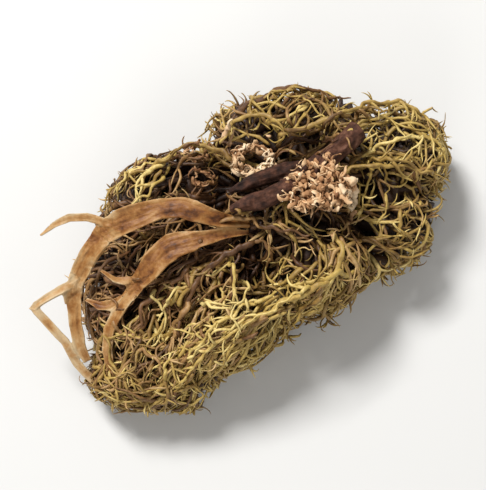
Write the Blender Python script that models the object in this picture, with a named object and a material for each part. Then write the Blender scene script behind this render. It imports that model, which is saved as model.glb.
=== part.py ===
"""A tuft of dried shrubby lichen grown round a small forked twig, torn off and lying on its side.

The twig is the dark, bark-covered fork in the middle. The lichen clasps it with a pale, crumbly
holdfast. Brown strap-like lobes leave the holdfast to the left, thin stems leave it all round, and
every lobe and stem ends in a dense tuft of fine branches. The tufts are soft: here each one is a
plain closed lump that reaches the tips of its branches.

Lengths in the tables are millimetres. +Z is up, the tuft rests on Z = 0, and the long way of the
tuft is X. The origin is the middle of its footprint.
"""

import math

import bmesh
import bpy
from mathutils import Matrix, Vector, noise

MM = 0.001
CUT_GAP = 0.36  # a neighbour is swollen by this before it is cut away, which leaves about 0.3 clear
RING_STEP = 2.2  # spacing of the rings along a lobe
FLAT_SIDES = 6  # sides of a flat lobe's section
ROUND_SIDES = 5  # sides of a thin stem's section
BARK_SIDES = 8
MERGE = 0.02  # points closer than this are one point
LUMP_ROUGHNESS = 0.10  # share of the radius that a tuft's surface rises and falls
LUMP_GRAIN = 0.21  # bumps per millimetre on a tuft

BARK = ("bark", (0.075, 0.045, 0.035), 0.85)
LOBE = ("lobe", (0.42, 0.26, 0.12), 0.6)
STEM = ("stem", (0.46, 0.36, 0.16), 0.65)
TUFT = ("tuft", (0.40, 0.36, 0.13), 0.8)
PALE = ("holdfast", (0.62, 0.46, 0.32), 0.75)

# name: points (x, y, z, diameter), from the thick broken end to the thin one
TWIG = {
    "twig_stem": [(14.2, 13.6, 14.6, 3.3), (12.2, 11.9, 15.0, 3.1), (9.8, 9.6, 15.2, 2.8),
                  (7.3, 7.5, 15.2, 2.5)],
    "twig_arm_lower": [(7.6, 7.8, 15.2, 2.3), (4.6, 5.9, 15.6, 2.2), (1.6, 4.8, 15.7, 2.1),
                       (-1.5, 3.8, 15.6, 1.5)],
    "twig_arm_upper": [(8.6, 8.6, 15.0, 1.9), (5.2, 8.7, 14.7, 1.9), (1.9, 7.7, 14.5, 1.7),
                       (-1.5, 6.3, 14.2, 1.3)],
}

# name: (flatness = thickness / width, points (x, y, z, width)), from the holdfast outwards
LOBES = {
    "lobe_outer": (0.42, [(0.9, 2.5, 14.0, 1.2), (-2.3, 2.9, 14.1, 2.0), (-7.5, 4.1, 14.9, 1.9),
                          (-11.9, 3.4, 14.8, 2.1), (-15.0, 2.4, 14.2, 2.8), (-17.0, 1.3, 13.4, 2.6)]),
    "lobe_outer_tail": (0.42, [(-16.2, 2.0, 13.7, 2.6), (-18.9, -1.1, 12.4, 2.4), (-20.5, -3.9, 11.3, 2.2),
                               (-21.1, -6.5, 10.3, 1.7), (-20.9, -9.4, 9.2, 1.6), (-20.3, -12.2, 7.9, 1.3),
                               (-19.5, -14.0, 6.9, 0.9)]),
    "lobe_horn": (0.6, [(-16.2, 2.3, 13.8, 1.1), (-19.0, 3.0, 14.2, 1.0), (-21.4, 3.0, 14.0, 0.9),
                        (-23.3, 2.3, 13.4, 0.8), (-24.8, 1.2, 12.6, 0.5)]),
    "lobe_elbow": (0.6, [(-20.6, -4.4, 11.2, 1.3), (-23.6, -6.2, 10.7, 1.4), (-25.7, -7.2, 10.2, 1.3),
                         (-26.2, -7.9, 9.9, 1.1)]),
    "lobe_elbow_tail": (0.6, [(-26.0, -7.7, 9.9, 1.1), (-24.6, -9.2, 9.2, 1.3), (-22.3, -11.6, 8.2, 1.3),
                              (-20.9, -14.5, 6.8, 1.2), (-18.9, -16.8, 5.4, 1.1), (-16.8, -18.4, 4.4, 0.8)]),
    "lobe_inner": (0.36, [(0.6, 1.3, 13.2, 1.1), (-2.8, 1.1, 13.4, 1.7), (-5.6, 0.6, 13.5, 2.1),
                          (-8.5, -0.5, 13.2, 2.9), (-11.0, -2.4, 12.5, 2.8), (-13.0, -4.6, 11.6, 2.2)]),
    "lobe_inner_long": (0.45, [(-12.4, -3.9, 11.8, 1.8), (-14.6, -7.2, 10.6, 1.6), (-16.5, -10.4, 9.5, 1.4),
                               (-17.0, -13.0, 8.4, 1.2), (-16.6, -16.0, 6.6, 0.9)]),
    "lobe_inner_left": (0.55, [(-12.6, -4.2, 11.7, 1.2), (-14.3, -4.4, 11.4, 1.0), (-15.9, -4.3, 11.3, 0.9),
                               (-17.6, -3.2, 11.3, 0.6)]),
    "lobe_inner_low": (0.45, [(-14.0, -6.4, 10.9, 1.5), (-16.0, -7.4, 10.2, 1.4), (-18.0, -7.5, 9.9, 1.2),
                              (-19.5, -6.5, 9.8, 0.8)]),
    "stem_centre": (0.8, [(1.4, 0.2, 12.9, 0.9), (-0.6, -0.5, 13.2, 1.1), (-3.1, -1.8, 13.1, 1.2),
                          (-5.4, -4.2, 12.4, 1.3), (-6.8, -7.0, 11.5, 1.2), (-7.6, -9.9, 10.6, 1.1),
                          (-8.9, -12.5, 9.5, 0.9), (-10.4, -14.0, 8.6, 0.6)]),
    "stem_centre_side": (0.9, [(-0.2, -0.4, 13.2, 0.8), (-1.1, -3.0, 12.8, 0.8), (-1.4, -5.7, 12.4, 0.7),
                               (-1.2, -8.0, 12.4, 0.5)]),
    "stem_right": (0.8, [(0.9, 1.9, 13.6, 0.9), (3.0, 2.0, 13.9, 0.9), (5.7, 1.5, 14.0, 0.8),
                         (8.4, 0.6, 13.8, 0.6)]),
    "stem_northwest": (0.7, [(-1.4, 10.4, 13.2, 1.2), (-4.2, 12.7, 12.6, 1.2), (-7.4, 12.4, 11.8, 1.1),
                             (-10.2, 10.9, 10.9, 1.1), (-13.2, 9.3, 10.0, 0.9), (-16.0, 8.2, 9.3, 0.8),
                             (-17.8, 7.3, 8.9, 0.5)]),
    "stem_northwest_side": (0.8, [(-9.8, 11.0, 11.0, 0.8), (-11.4, 8.8, 10.4, 0.8), (-13.6, 6.1, 9.8, 0.5)]),
    "stem_north_loop": (0.8, [(-2.4, 11.6, 13.2, 1.1), (-2.9, 14.0, 13.8, 1.1), (-0.4, 15.9, 14.5, 0.9),
                              (2.7, 15.8, 14.9, 0.9), (4.9, 14.1, 14.8, 0.8)]),
    "stem_north_rail": (0.7, [(4.2, 13.4, 14.7, 1.0), (7.2, 13.9, 15.0, 1.0), (10.2, 14.9, 15.2, 1.1),
                              (13.2, 16.4, 14.9, 1.1), (16.6, 17.9, 13.8, 1.0), (20.0, 18.0, 12.6, 0.9),
                              (23.2, 16.4, 11.4, 0.8), (25.2, 13.6, 10.0, 0.5)]),
    "stem_north_arch": (0.8, [(-1.6, 15.2, 13.4, 0.9), (0.6, 17.6, 12.8, 0.9), (3.6, 19.6, 11.8, 0.9),
                              (7.0, 20.5, 10.8, 0.9), (10.6, 19.7, 10.2, 0.8), (14.2, 19.0, 9.8, 0.5)]),
    "stem_east": (0.7, [(11.6, 8.6, 14.2, 1.2), (15.0, 9.6, 14.6, 1.1), (19.0, 9.8, 13.8, 1.0),
                        (22.6, 9.4, 12.2, 0.8), (26.4, 8.2, 10.4, 0.5)]),
    "stem_south_ridge": (0.6, [(10.6, 1.6, 13.2, 0.9), (12.8, -1.6, 13.6, 1.0), (10.8, -4.6, 14.0, 1.1),
                               (7.3, -6.5, 14.2, 1.2), (2.6, -8.7, 13.9, 1.2), (-1.8, -11.3, 12.9, 1.1),
                               (-6.0, -14.6, 11.3, 0.9), (-8.8, -18.0, 9.0, 0.6)]),
    "stem_southwest": (0.6, [(-16.2, -15.0, 7.0, 1.1), (-13.6, -17.6, 7.0, 1.1), (-10.4, -18.8, 6.6, 1.0),
                             (-7.0, -19.0, 6.0, 0.6)]),
}

# name: (centre, radii, turn in degrees, fineness of the ball it starts from)
PALE_LUMPS = {
    "holdfast": ((9.6, 6.2, 16.0), (4.4, 3.1, 1.9), 25, 3),
    "holdfast_curl": ((1.2, 10.9, 15.2), (2.3, 1.8, 1.1), 10, 2),
    "pale_flake": ((13.9, 5.2, 16.0), (1.2, 0.9, 0.6), -55, 2),
    "pale_scale": ((-0.9, 13.6, 15.3), (0.6, 1.1, 0.5), 10, 2),
}
TUFTS = {
    "tuft_heart": ((5.2, 4.4, 6.6), (8.4, 6.6, 7.4), 20, 3),
    "tuft_south": ((-1.4, -9.8, 5.6), (9.2, 4.9, 7.3), 34, 3),
    "tuft_southeast": ((10.0, -2.4, 6.0), (7.6, 5.2, 7.6), 38, 3),
    "tuft_east": ((18.6, 3.8, 5.2), (5.8, 6.4, 6.8), 10, 3),
    "tuft_northeast": ((18.8, 12.4, 5.8), (8.2, 6.6, 7.4), -15, 3),
    "tuft_north": ((4.6, 15.0, 5.8), (9.6, 5.8, 8.0), 10, 3),
    "tuft_northwest": ((-10.4, 7.4, 4.6), (9.0, 5.4, 5.6), 25, 3),
    "tuft_west": ((-14.8, -6.6, 4.4), (5.6, 8.4, 5.6), 16, 3),
    "tuft_southwest": ((-11.4, -15.0, 4.2), (8.2, 5.6, 5.4), -5, 3),
    "tuft_nest": ((-5.0, -2.6, 4.8), (7.4, 6.6, 6.0), 20, 3),
}


def clear_scene():
    for obj in list(bpy.data.objects):
        bpy.data.objects.remove(obj)


def material(name, colour, roughness):
    made = bpy.data.materials.get(name)
    if made is None:
        made = bpy.data.materials.new(name)
        made.use_nodes = True
        shader = made.node_tree.nodes["Principled BSDF"]
        shader.inputs["Base Color"].default_value = (*colour, 1.0)
        shader.inputs["Roughness"].default_value = roughness
        shader.inputs["Metallic"].default_value = 0.0
    return made


def add_object(name, mesh, collection, finish):
    obj = bpy.data.objects.new(name, mesh)
    collection.objects.link(obj)
    mesh.materials.clear()
    mesh.materials.append(material(*finish))
    mesh.shade_smooth()
    return obj


def eased(before, start, end, after, t):
    """One number of a Catmull-Rom curve, at t from start to end."""
    slope = end - before
    bend = 2 * before - 5 * start + 4 * end - after
    twist = 3 * start - before - 3 * end + after
    return 0.5 * (2 * start + slope * t + bend * t**2 + twist * t**3)


def smooth_route(points, step):
    """Points about a step apart on a smooth curve through the given ones, widths included."""
    first = tuple(2 * a - b for a, b in zip(points[0], points[1]))
    last = tuple(2 * a - b for a, b in zip(points[-1], points[-2]))
    padded = [first, *points, last]
    made = []
    for four in zip(padded, padded[1:], padded[2:], padded[3:]):
        count = max(1, round(math.dist(four[1][:3], four[2][:3]) / step))
        for k in range(count):
            made.append(tuple(eased(*numbers, k / count) for numbers in zip(*four)))
    made.append(points[-1])
    return made


def section(name, sides, flatness, collection):
    """The outline that is swept along a lobe: an ellipse one unit wide."""
    curve = bpy.data.curves.new(name, "CURVE")
    curve.dimensions = "2D"
    line = curve.splines.new("POLY")
    line.points.add(sides - 1)
    line.use_cyclic_u = True
    for i, point in enumerate(line.points):
        angle = 2 * math.pi * (i + 0.5) / sides
        point.co = (0.5 * MM * math.cos(angle), 0.5 * MM * flatness * math.sin(angle), 0, 1)
    guide = bpy.data.objects.new(name, curve)
    guide.hide_render = True
    collection.objects.link(guide)
    return guide


def swept(name, points, flatness, sides, finish, collection, cutters):
    """A lobe, stem or twig: an ellipse swept along a smooth route, made a closed mesh."""
    outline = section(f"{name}_section", sides, flatness, cutters)
    curve = bpy.data.curves.new(name, "CURVE")
    curve.dimensions = "3D"
    curve.twist_mode = "Z_UP"
    curve.bevel_mode = "OBJECT"
    curve.bevel_object = outline
    curve.use_fill_caps = True
    route = smooth_route(points, RING_STEP)
    line = curve.splines.new("POLY")
    line.points.add(len(route) - 1)
    for point, (x, y, z, width) in zip(line.points, route):
        point.co = (x * MM, y * MM, z * MM, 1)
        point.radius = width
    source = bpy.data.objects.new(name + "_route", curve)
    collection.objects.link(source)
    bpy.context.view_layer.update()
    graph = bpy.context.evaluated_depsgraph_get()
    mesh = bpy.data.meshes.new_from_object(source.evaluated_get(graph))
    bpy.data.objects.remove(source)
    bpy.data.objects.remove(outline)
    shape = bmesh.new()
    shape.from_mesh(mesh)
    bmesh.ops.remove_doubles(shape, verts=shape.verts, dist=MERGE * MM)
    bmesh.ops.recalc_face_normals(shape, faces=shape.faces)
    shape.to_mesh(mesh)
    shape.free()
    return add_object(name, mesh, collection, finish)


def lump(name, centre, radii, turn, fineness, finish, collection):
    """A tuft's envelope: an uneven ellipsoid, flat where it would reach below the ground."""
    shape = bmesh.new()
    bmesh.ops.create_icosphere(shape, subdivisions=fineness, radius=1.0)
    offset = Vector(centre)
    rotation = Matrix.Rotation(math.radians(turn), 3, "Z")
    for vert in shape.verts:
        place = offset + rotation @ Vector(a * b for a, b in zip(vert.co, radii))
        rise = noise.fractal(place * LUMP_GRAIN, 1.0, 2.0, 2)
        vert.co = offset + (place - offset) * (1 + LUMP_ROUGHNESS * rise)
    whole = shape.verts[:] + shape.edges[:] + shape.faces[:]
    bmesh.ops.bisect_plane(shape, geom=whole, plane_co=(0, 0, 0), plane_no=(0, 0, -1), clear_outer=True)
    rim = [edge for edge in shape.edges if edge.is_boundary]
    if rim:
        bmesh.ops.holes_fill(shape, edges=rim)
    bmesh.ops.scale(shape, vec=(MM, MM, MM), verts=shape.verts)
    bmesh.ops.triangulate(shape, faces=shape.faces)
    bmesh.ops.recalc_face_normals(shape, faces=shape.faces)
    mesh = bpy.data.meshes.new(name)
    shape.to_mesh(mesh)
    shape.free()
    return add_object(name, mesh, collection, finish)


def box_of(obj):
    corners = [vert.co for vert in obj.data.vertices]
    return (
        [min(c[k] for c in corners) for k in range(3)],
        [max(c[k] for c in corners) for k in range(3)],
    )


def boxes_meet(a, b, clearance):
    (a_low, a_high), (b_low, b_high) = box_of(a), box_of(b)
    return all(a_low[k] < b_high[k] + clearance and b_low[k] < a_high[k] + clearance for k in range(3))


def swollen(obj, collection):
    """A copy of a piece, grown all over, that cuts its neighbour back with a gap."""
    mesh = obj.data.copy()
    shape = bmesh.new()
    shape.from_mesh(mesh)
    shape.normal_update()
    moves = [vert.normal * (CUT_GAP * MM) for vert in shape.verts]
    for vert, move in zip(shape.verts, moves):
        vert.co += move
    shape.to_mesh(mesh)
    shape.free()
    cutter = bpy.data.objects.new(obj.name + "_cutter", mesh)
    cutter.hide_render = True
    cutter.display_type = "WIRE"
    collection.objects.link(cutter)
    return cutter


def keep_largest(mesh):
    """Drops the crumbs that a cut leaves, so that a piece stays one body."""
    shape = bmesh.new()
    shape.from_mesh(mesh)
    left = set(shape.verts)
    islands = []
    while left:
        island = {left.pop()}
        front = list(island)
        while front:
            vert = front.pop()
            for edge in vert.link_edges:
                other = edge.other_vert(vert)
                if other in left:
                    left.remove(other)
                    island.add(other)
                    front.append(other)
        islands.append(island)
    islands.sort(key=len)
    for island in islands[:-1]:
        bmesh.ops.delete(shape, geom=list(island), context="VERTS")
    shape.to_mesh(mesh)
    shape.free()


def tidy_cut(mesh):
    """Joins the slivers that a cut leaves along its edge."""
    shape = bmesh.new()
    shape.from_mesh(mesh)
    bmesh.ops.triangulate(shape, faces=shape.faces)
    bmesh.ops.remove_doubles(shape, verts=shape.verts, dist=MERGE * MM)
    bmesh.ops.dissolve_degenerate(shape, edges=shape.edges, dist=MERGE * MM)
    bmesh.ops.recalc_face_normals(shape, faces=shape.faces)
    shape.to_mesh(mesh)
    shape.free()


def cut_back(obj, neighbours, cutters):
    """Cuts a piece back from each neighbour that it would touch."""
    near = [swollen(other, cutters) for other in neighbours if boxes_meet(obj, other, CUT_GAP * MM)]
    if not near:
        return
    cut = obj.modifiers.new("cut", "BOOLEAN")
    cut.operation = "DIFFERENCE"
    cut.solver = "EXACT"
    cut.operand_type = "COLLECTION"
    cut.collection = cutters
    bpy.context.view_layer.update()
    graph = bpy.context.evaluated_depsgraph_get()
    mesh = bpy.data.meshes.new_from_object(obj.evaluated_get(graph))
    obj.modifiers.clear()
    obj.data = mesh
    tidy_cut(mesh)
    keep_largest(mesh)
    for cutter in near:
        bpy.data.objects.remove(cutter)


def centre_footprint(objects, collection):
    """Hangs every piece on one empty, moved so that the origin is under the middle of the tuft."""
    boxes = [box_of(obj) for obj in objects]
    low = [min(box[0][k] for box in boxes) for k in range(3)]
    high = [max(box[1][k] for box in boxes) for k in range(3)]
    holder = bpy.data.objects.new("lichen_on_twig_origin", None)
    holder.location = (-(low[0] + high[0]) / 2, -(low[1] + high[1]) / 2, -low[2])
    collection.objects.link(holder)
    for obj in objects:
        obj.parent = holder


def main():
    clear_scene()
    lichen = bpy.data.collections.new("lichen_on_twig")
    cutters = bpy.data.collections.new("cutters")
    for collection in (lichen, cutters):
        bpy.context.scene.collection.children.link(collection)

    hard = []
    for name, points in TWIG.items():
        piece = swept(name, points, 1.0, BARK_SIDES, BARK, lichen, cutters)
        cut_back(piece, hard, cutters)
        hard.append(piece)
    for name, (flatness, points) in LOBES.items():
        sides, finish = (FLAT_SIDES, LOBE) if name.startswith("lobe") else (ROUND_SIDES, STEM)
        piece = swept(name, points, flatness, sides, finish, lichen, cutters)
        cut_back(piece, hard, cutters)
        hard.append(piece)
    for name, (centre, radii, turn, fineness) in PALE_LUMPS.items():
        piece = lump(name, centre, radii, turn, fineness, PALE, lichen)
        cut_back(piece, hard, cutters)
        hard.append(piece)
    tufts = []
    for name, (centre, radii, turn, fineness) in TUFTS.items():
        piece = lump(name, centre, radii, turn, fineness, TUFT, lichen)
        cut_back(piece, tufts + hard, cutters)
        tufts.append(piece)
    centre_footprint(hard + tufts, lichen)


main()
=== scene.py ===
import heapq
import math

import bmesh
import bpy
import numpy as np
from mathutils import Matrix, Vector, noise
from mathutils.bvhtree import BVHTree
from mathutils.kdtree import KDTree


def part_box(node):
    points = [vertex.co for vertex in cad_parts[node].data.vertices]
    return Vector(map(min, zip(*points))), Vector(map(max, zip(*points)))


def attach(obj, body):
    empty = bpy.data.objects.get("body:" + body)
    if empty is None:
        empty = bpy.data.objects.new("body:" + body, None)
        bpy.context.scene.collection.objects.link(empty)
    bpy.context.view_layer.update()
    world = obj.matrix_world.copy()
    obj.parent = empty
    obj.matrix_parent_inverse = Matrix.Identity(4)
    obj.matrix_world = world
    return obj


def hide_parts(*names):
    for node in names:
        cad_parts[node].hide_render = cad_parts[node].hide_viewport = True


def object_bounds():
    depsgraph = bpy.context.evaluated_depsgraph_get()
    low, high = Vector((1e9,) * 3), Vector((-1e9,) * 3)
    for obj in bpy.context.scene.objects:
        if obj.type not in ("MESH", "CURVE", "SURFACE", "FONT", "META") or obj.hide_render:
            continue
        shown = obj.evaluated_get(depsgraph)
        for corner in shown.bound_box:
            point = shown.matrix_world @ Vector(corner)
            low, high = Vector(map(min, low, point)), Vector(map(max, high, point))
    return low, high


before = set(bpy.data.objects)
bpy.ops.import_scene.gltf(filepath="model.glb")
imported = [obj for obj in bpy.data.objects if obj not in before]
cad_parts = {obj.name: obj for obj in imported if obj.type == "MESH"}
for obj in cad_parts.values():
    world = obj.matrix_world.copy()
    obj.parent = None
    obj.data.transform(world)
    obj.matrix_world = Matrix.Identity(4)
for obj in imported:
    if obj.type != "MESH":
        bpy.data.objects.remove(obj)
mm = 0.001
cadLow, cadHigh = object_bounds()
cadCentre = (cadLow + cadHigh) / 2
rng = np.random.default_rng(7)
tuftNodes = sorted(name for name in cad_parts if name.startswith("tuft_"))
stemNodes = sorted(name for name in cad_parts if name.startswith("stem_"))
lobeNodes = sorted(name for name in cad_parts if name.startswith("lobe_"))
twigNodes = sorted(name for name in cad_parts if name.startswith("twig_"))
mergeReach = 0.002 * mm  # corners of CAD triangles closer than this are one corner
print("frame loaded:", len(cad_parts), "nodes")


# small helpers

def unit(vectors):
    return vectors / np.maximum(np.linalg.norm(vectors, axis=-1, keepdims=True), 1e-9)


def deselectAll():
    if bpy.context.object and bpy.context.object.mode != "OBJECT":
        bpy.ops.object.mode_set(mode="OBJECT")
    bpy.ops.object.select_all(action="DESELECT")


def pick(objects):
    deselectAll()
    for each in objects:
        each.select_set(True)
    bpy.context.view_layer.objects.active = objects[0]


def readMesh(mesh, key):
    # every vertex's "co" or "normal"
    flat = np.zeros(len(mesh.vertices) * 3)
    mesh.vertices.foreach_get(key, flat)
    return flat.reshape(-1, 3)


def writePoints(mesh, points):
    mesh.vertices.foreach_set("co", points.ravel())
    mesh.update()


def writeAttribute(mesh, name, values):
    layer = mesh.attributes.new(name, "FLOAT", "POINT")
    layer.data.foreach_set("value", np.asarray(values, dtype=np.float32))


def mergedCopy(node, name):
    # a CAD node's own copy, with its loose triangles joined up
    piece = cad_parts[node].copy()
    piece.data = piece.data.copy()
    piece.name = name
    piece.parent = None
    for key in list(piece.keys()):
        del piece[key]
    bpy.context.scene.collection.objects.link(piece)
    pick([piece])
    bpy.ops.object.mode_set(mode="EDIT")
    bpy.ops.mesh.select_all(action="SELECT")
    bpy.ops.mesh.remove_doubles(threshold=mergeReach)
    bpy.ops.object.mode_set(mode="OBJECT")
    return piece


def mergedShape(node):
    shape = bmesh.new()
    shape.from_mesh(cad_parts[node].data)
    bmesh.ops.remove_doubles(shape, verts=shape.verts, dist=mergeReach)
    return shape


def boxOf(node):
    return [np.array(corner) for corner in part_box(node)]


def treeOf(points):
    tree = KDTree(len(points))
    for k, spot in enumerate(points):
        tree.insert(spot, k)
    tree.balance()
    return tree


def easedLine(line, passes):
    # a dense line with its corners rounded off and both ends kept
    for _ in range(passes):
        line[1:-1] = (line[:-2] + line[1:-1] + line[2:]) / 3
    return line


def walkAlong(path):
    # how far along a path each of its points lies
    return np.concatenate([[0], np.cumsum(np.linalg.norm(np.diff(path, axis=0), axis=1))])


def readAlong(path, walk, at):
    return np.stack([np.interp(at, walk, path[:, k]) for k in range(3)], 1)


def evenSteps(path, step, least):
    walk = walkAlong(path)
    return readAlong(path, walk, np.linspace(0, walk[-1], max(least, round(walk[-1] / step) + 1)))


def finishPiece(piece, paint, nodes=()):
    # its material, the body that carries it and the CAD nodes that it stands in for
    piece.data.materials.append(paint)
    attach(piece, "root")
    if nodes:
        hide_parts(*nodes)
    print(piece.name, len(piece.data.polygons), "faces")


# camera, light and floor

stageSettings = {
    "floorSize": 3.0,
    "floorTone": (0.62, 0.615, 0.60, 1),
    "elevation": 81.5,
    "lens": 85.0,
    "sensor": 36.0,
    "fill": 0.86,  # share of the frame's width that the tuft takes
    "worldTone": (1.0, 0.985, 0.96, 1),
    "worldStrength": 0.30,
    # name: (azimuth, elevation, distance, size, watts)
    "lamps": {
        "keyLamp": (-35, 50, 0.55, 0.14, 4.4),
        "fillLamp": (120, 35, 0.7, 0.5, 0.7),
        "backLamp": (195, 28, 0.6, 0.25, 0.9),
    },
}


def direction(azimuth, elevation):
    a, e = math.radians(azimuth), math.radians(elevation)
    return Vector((math.sin(a) * math.cos(e), math.cos(a) * math.cos(e), math.sin(e)))


def aim(thing, target):
    thing.rotation_euler = (target - thing.location).to_track_quat("-Z", "Y").to_euler()


def makeStage(settings):
    deselectAll()
    bpy.ops.mesh.primitive_plane_add(size=settings["floorSize"])
    floor = bpy.context.object
    floor.name = "floor"
    paint = bpy.data.materials.new("paperFloor")
    paint.use_nodes = True
    shader = paint.node_tree.nodes["Principled BSDF"]
    shader.inputs["Base Color"].default_value = settings["floorTone"]
    shader.inputs["Roughness"].default_value = 0.9
    floor.data.materials.append(paint)

    world = bpy.data.worlds.new("softRoom")
    bpy.context.scene.world = world
    world.use_nodes = True
    sky = world.node_tree.nodes["Background"]
    sky.inputs["Color"].default_value = settings["worldTone"]
    sky.inputs["Strength"].default_value = settings["worldStrength"]
    for name, (azimuth, elevation, distance, size, watts) in settings["lamps"].items():
        lamp = bpy.data.lights.new(name, "AREA")
        lamp.energy = watts
        lamp.size = size
        holder = bpy.data.objects.new(name, lamp)
        holder.location = cadCentre + direction(azimuth, elevation) * distance
        aim(holder, cadCentre)
        bpy.context.scene.collection.objects.link(holder)

    lens = bpy.data.cameras.new("camera")
    lens.lens = settings["lens"]
    lens.sensor_width = settings["sensor"]
    lens.clip_start = 0.01
    camera = bpy.data.objects.new("camera", lens)
    across = (cadHigh.x - cadLow.x) / settings["fill"]
    distance = across / settings["sensor"] * settings["lens"]
    camera.location = cadCentre + direction(180, settings["elevation"]) * distance
    aim(camera, cadCentre)
    bpy.context.scene.collection.objects.link(camera)
    bpy.context.scene.camera = camera
    bpy.context.scene.view_settings.view_transform = "Standard"


makeStage(stageSettings)
print("stage made")


# spines: the middle line of each CAD lobe and stem, from the twig outwards

twigPoint = sum((sum(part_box(node), Vector()) for node in twigNodes), Vector()) / (2 * len(twigNodes))
spineSettings = {"spacing": 1.1 * mm, "samplesPerEdge": 6}


def walkDistances(points, edges, start):
    links = [[] for _ in points]
    for a, b in edges:
        length = float(np.linalg.norm(points[a] - points[b]))
        links[a].append((b, length))
        links[b].append((a, length))
    best = np.full(len(points), np.inf)
    best[start] = 0
    queue = [(0.0, start)]
    while queue:
        reached, at = heapq.heappop(queue)
        if reached > best[at]:
            continue
        for other, length in links[at]:
            if reached + length < best[other]:
                best[other] = reached + length
                heapq.heappush(queue, (reached + length, other))
    return best


def spineOf(node, settings):
    # rings of equal walking distance from one end, each replaced by its middle
    shape = mergedShape(node)
    shape.verts.index_update()
    points = np.array([vert.co for vert in shape.verts])
    edges = [(edge.verts[0].index, edge.verts[1].index) for edge in shape.edges]
    shape.free()
    first = int(np.argmax(walkDistances(points, edges, 0)))
    walk = walkDistances(points, edges, first)
    last = int(np.argmax(walk))
    if np.linalg.norm(points[first] - twigPoint) > np.linalg.norm(points[last] - twigPoint):
        walk = walkDistances(points, edges, last)
    shares = np.linspace(0, 1, settings["samplesPerEdge"])
    ends = np.array(edges)
    spots = (points[ends[:, 0], None] * (1 - shares[None, :, None])
             + points[ends[:, 1], None] * shares[None, :, None])
    steps = walk[ends[:, 0], None] * (1 - shares) + walk[ends[:, 1], None] * shares
    spots, steps = spots.reshape(-1, 3), steps.ravel()
    count = max(3, round(steps.max() / settings["spacing"]))
    bins = np.minimum((steps / steps.max() * count).astype(int), count - 1)
    middle = np.array([spots[bins == k].mean(0) for k in range(count) if (bins == k).any()])
    for _ in range(2):
        middle[1:-1] = 0.5 * middle[1:-1] + 0.25 * (middle[:-2] + middle[2:])
    along = unit(np.gradient(middle, axis=0))
    across = unit(np.cross(along, (0, 0, 1)))
    middleTree = treeOf(middle)
    width = np.zeros(len(middle))
    for spot in spots:
        _, k, _ = middleTree.find(spot)
        width[k] = max(width[k], abs(float(np.dot(spot - middle[k], across[k]))))
    return {"middle": middle, "along": along, "across": across, "width": width}


spines = {node: spineOf(node, spineSettings) for node in lobeNodes + stemNodes + twigNodes}
print("spines found:", len(spines))


# the tuft's outer skin and what lies under it: depth, the way in, and the way that branches run

fieldSettings = {
    "cell": 0.8 * mm,
    "margin": 3.2 * mm,
    "skinSpacing": 0.75 * mm,
    "blend": 1.0 * mm,  # how far two tufts' lumps melt together
    "radialShare": 0.35,
    "flowReach": 2.0 * mm,
    "lumpReach": 3 * mm,  # how far from a lump its depth is still worked out
    "skinFloor": 0.4 * mm,
    "skinApart": 0.7 * mm,  # a lump's face this close to another lump is not skin
    "levelling": 0.3,  # how much of its slope the outward way keeps
    "chunk": 4000,
}


def tuftTrees():
    trees = {}
    for node in tuftNodes:
        shape = mergedShape(node)
        trees[node] = BVHTree.FromBMesh(shape)
        shape.free()
    return trees


def signedReach(tree, spot, furthest):
    # how deep a point lies in a lump: positive inside, negative outside
    near, normal, _, distance = tree.find_nearest(Vector(spot), furthest)
    if near is None:
        return -furthest
    return distance if (Vector(spot) - near).dot(normal) < 0 else -distance


def skinPoints(trees, settings):
    # random spots, evenly spread over what shows of the lumps
    found = []
    for node in tuftNodes:
        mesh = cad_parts[node].data
        mesh.calc_loop_triangles()
        points = readMesh(mesh, "co")
        for face in mesh.loop_triangles:
            a, b, c = (points[k] for k in face.vertices)
            share = face.area / settings["skinSpacing"]**2
            count = int(share) + (rng.random() < share % 1)
            for _ in range(count):
                u, v = rng.random(2)
                if u + v > 1:
                    u, v = 1 - u, 1 - v
                spot = a + (b - a) * u + (c - a) * v
                if spot[2] < settings["skinFloor"]:
                    continue
                others = [signedReach(trees[other], spot, settings["lumpReach"])
                          for other in tuftNodes if other != node]
                if max(others) <= -settings["skinApart"]:
                    found.append(spot)
    return np.array(found)


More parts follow.
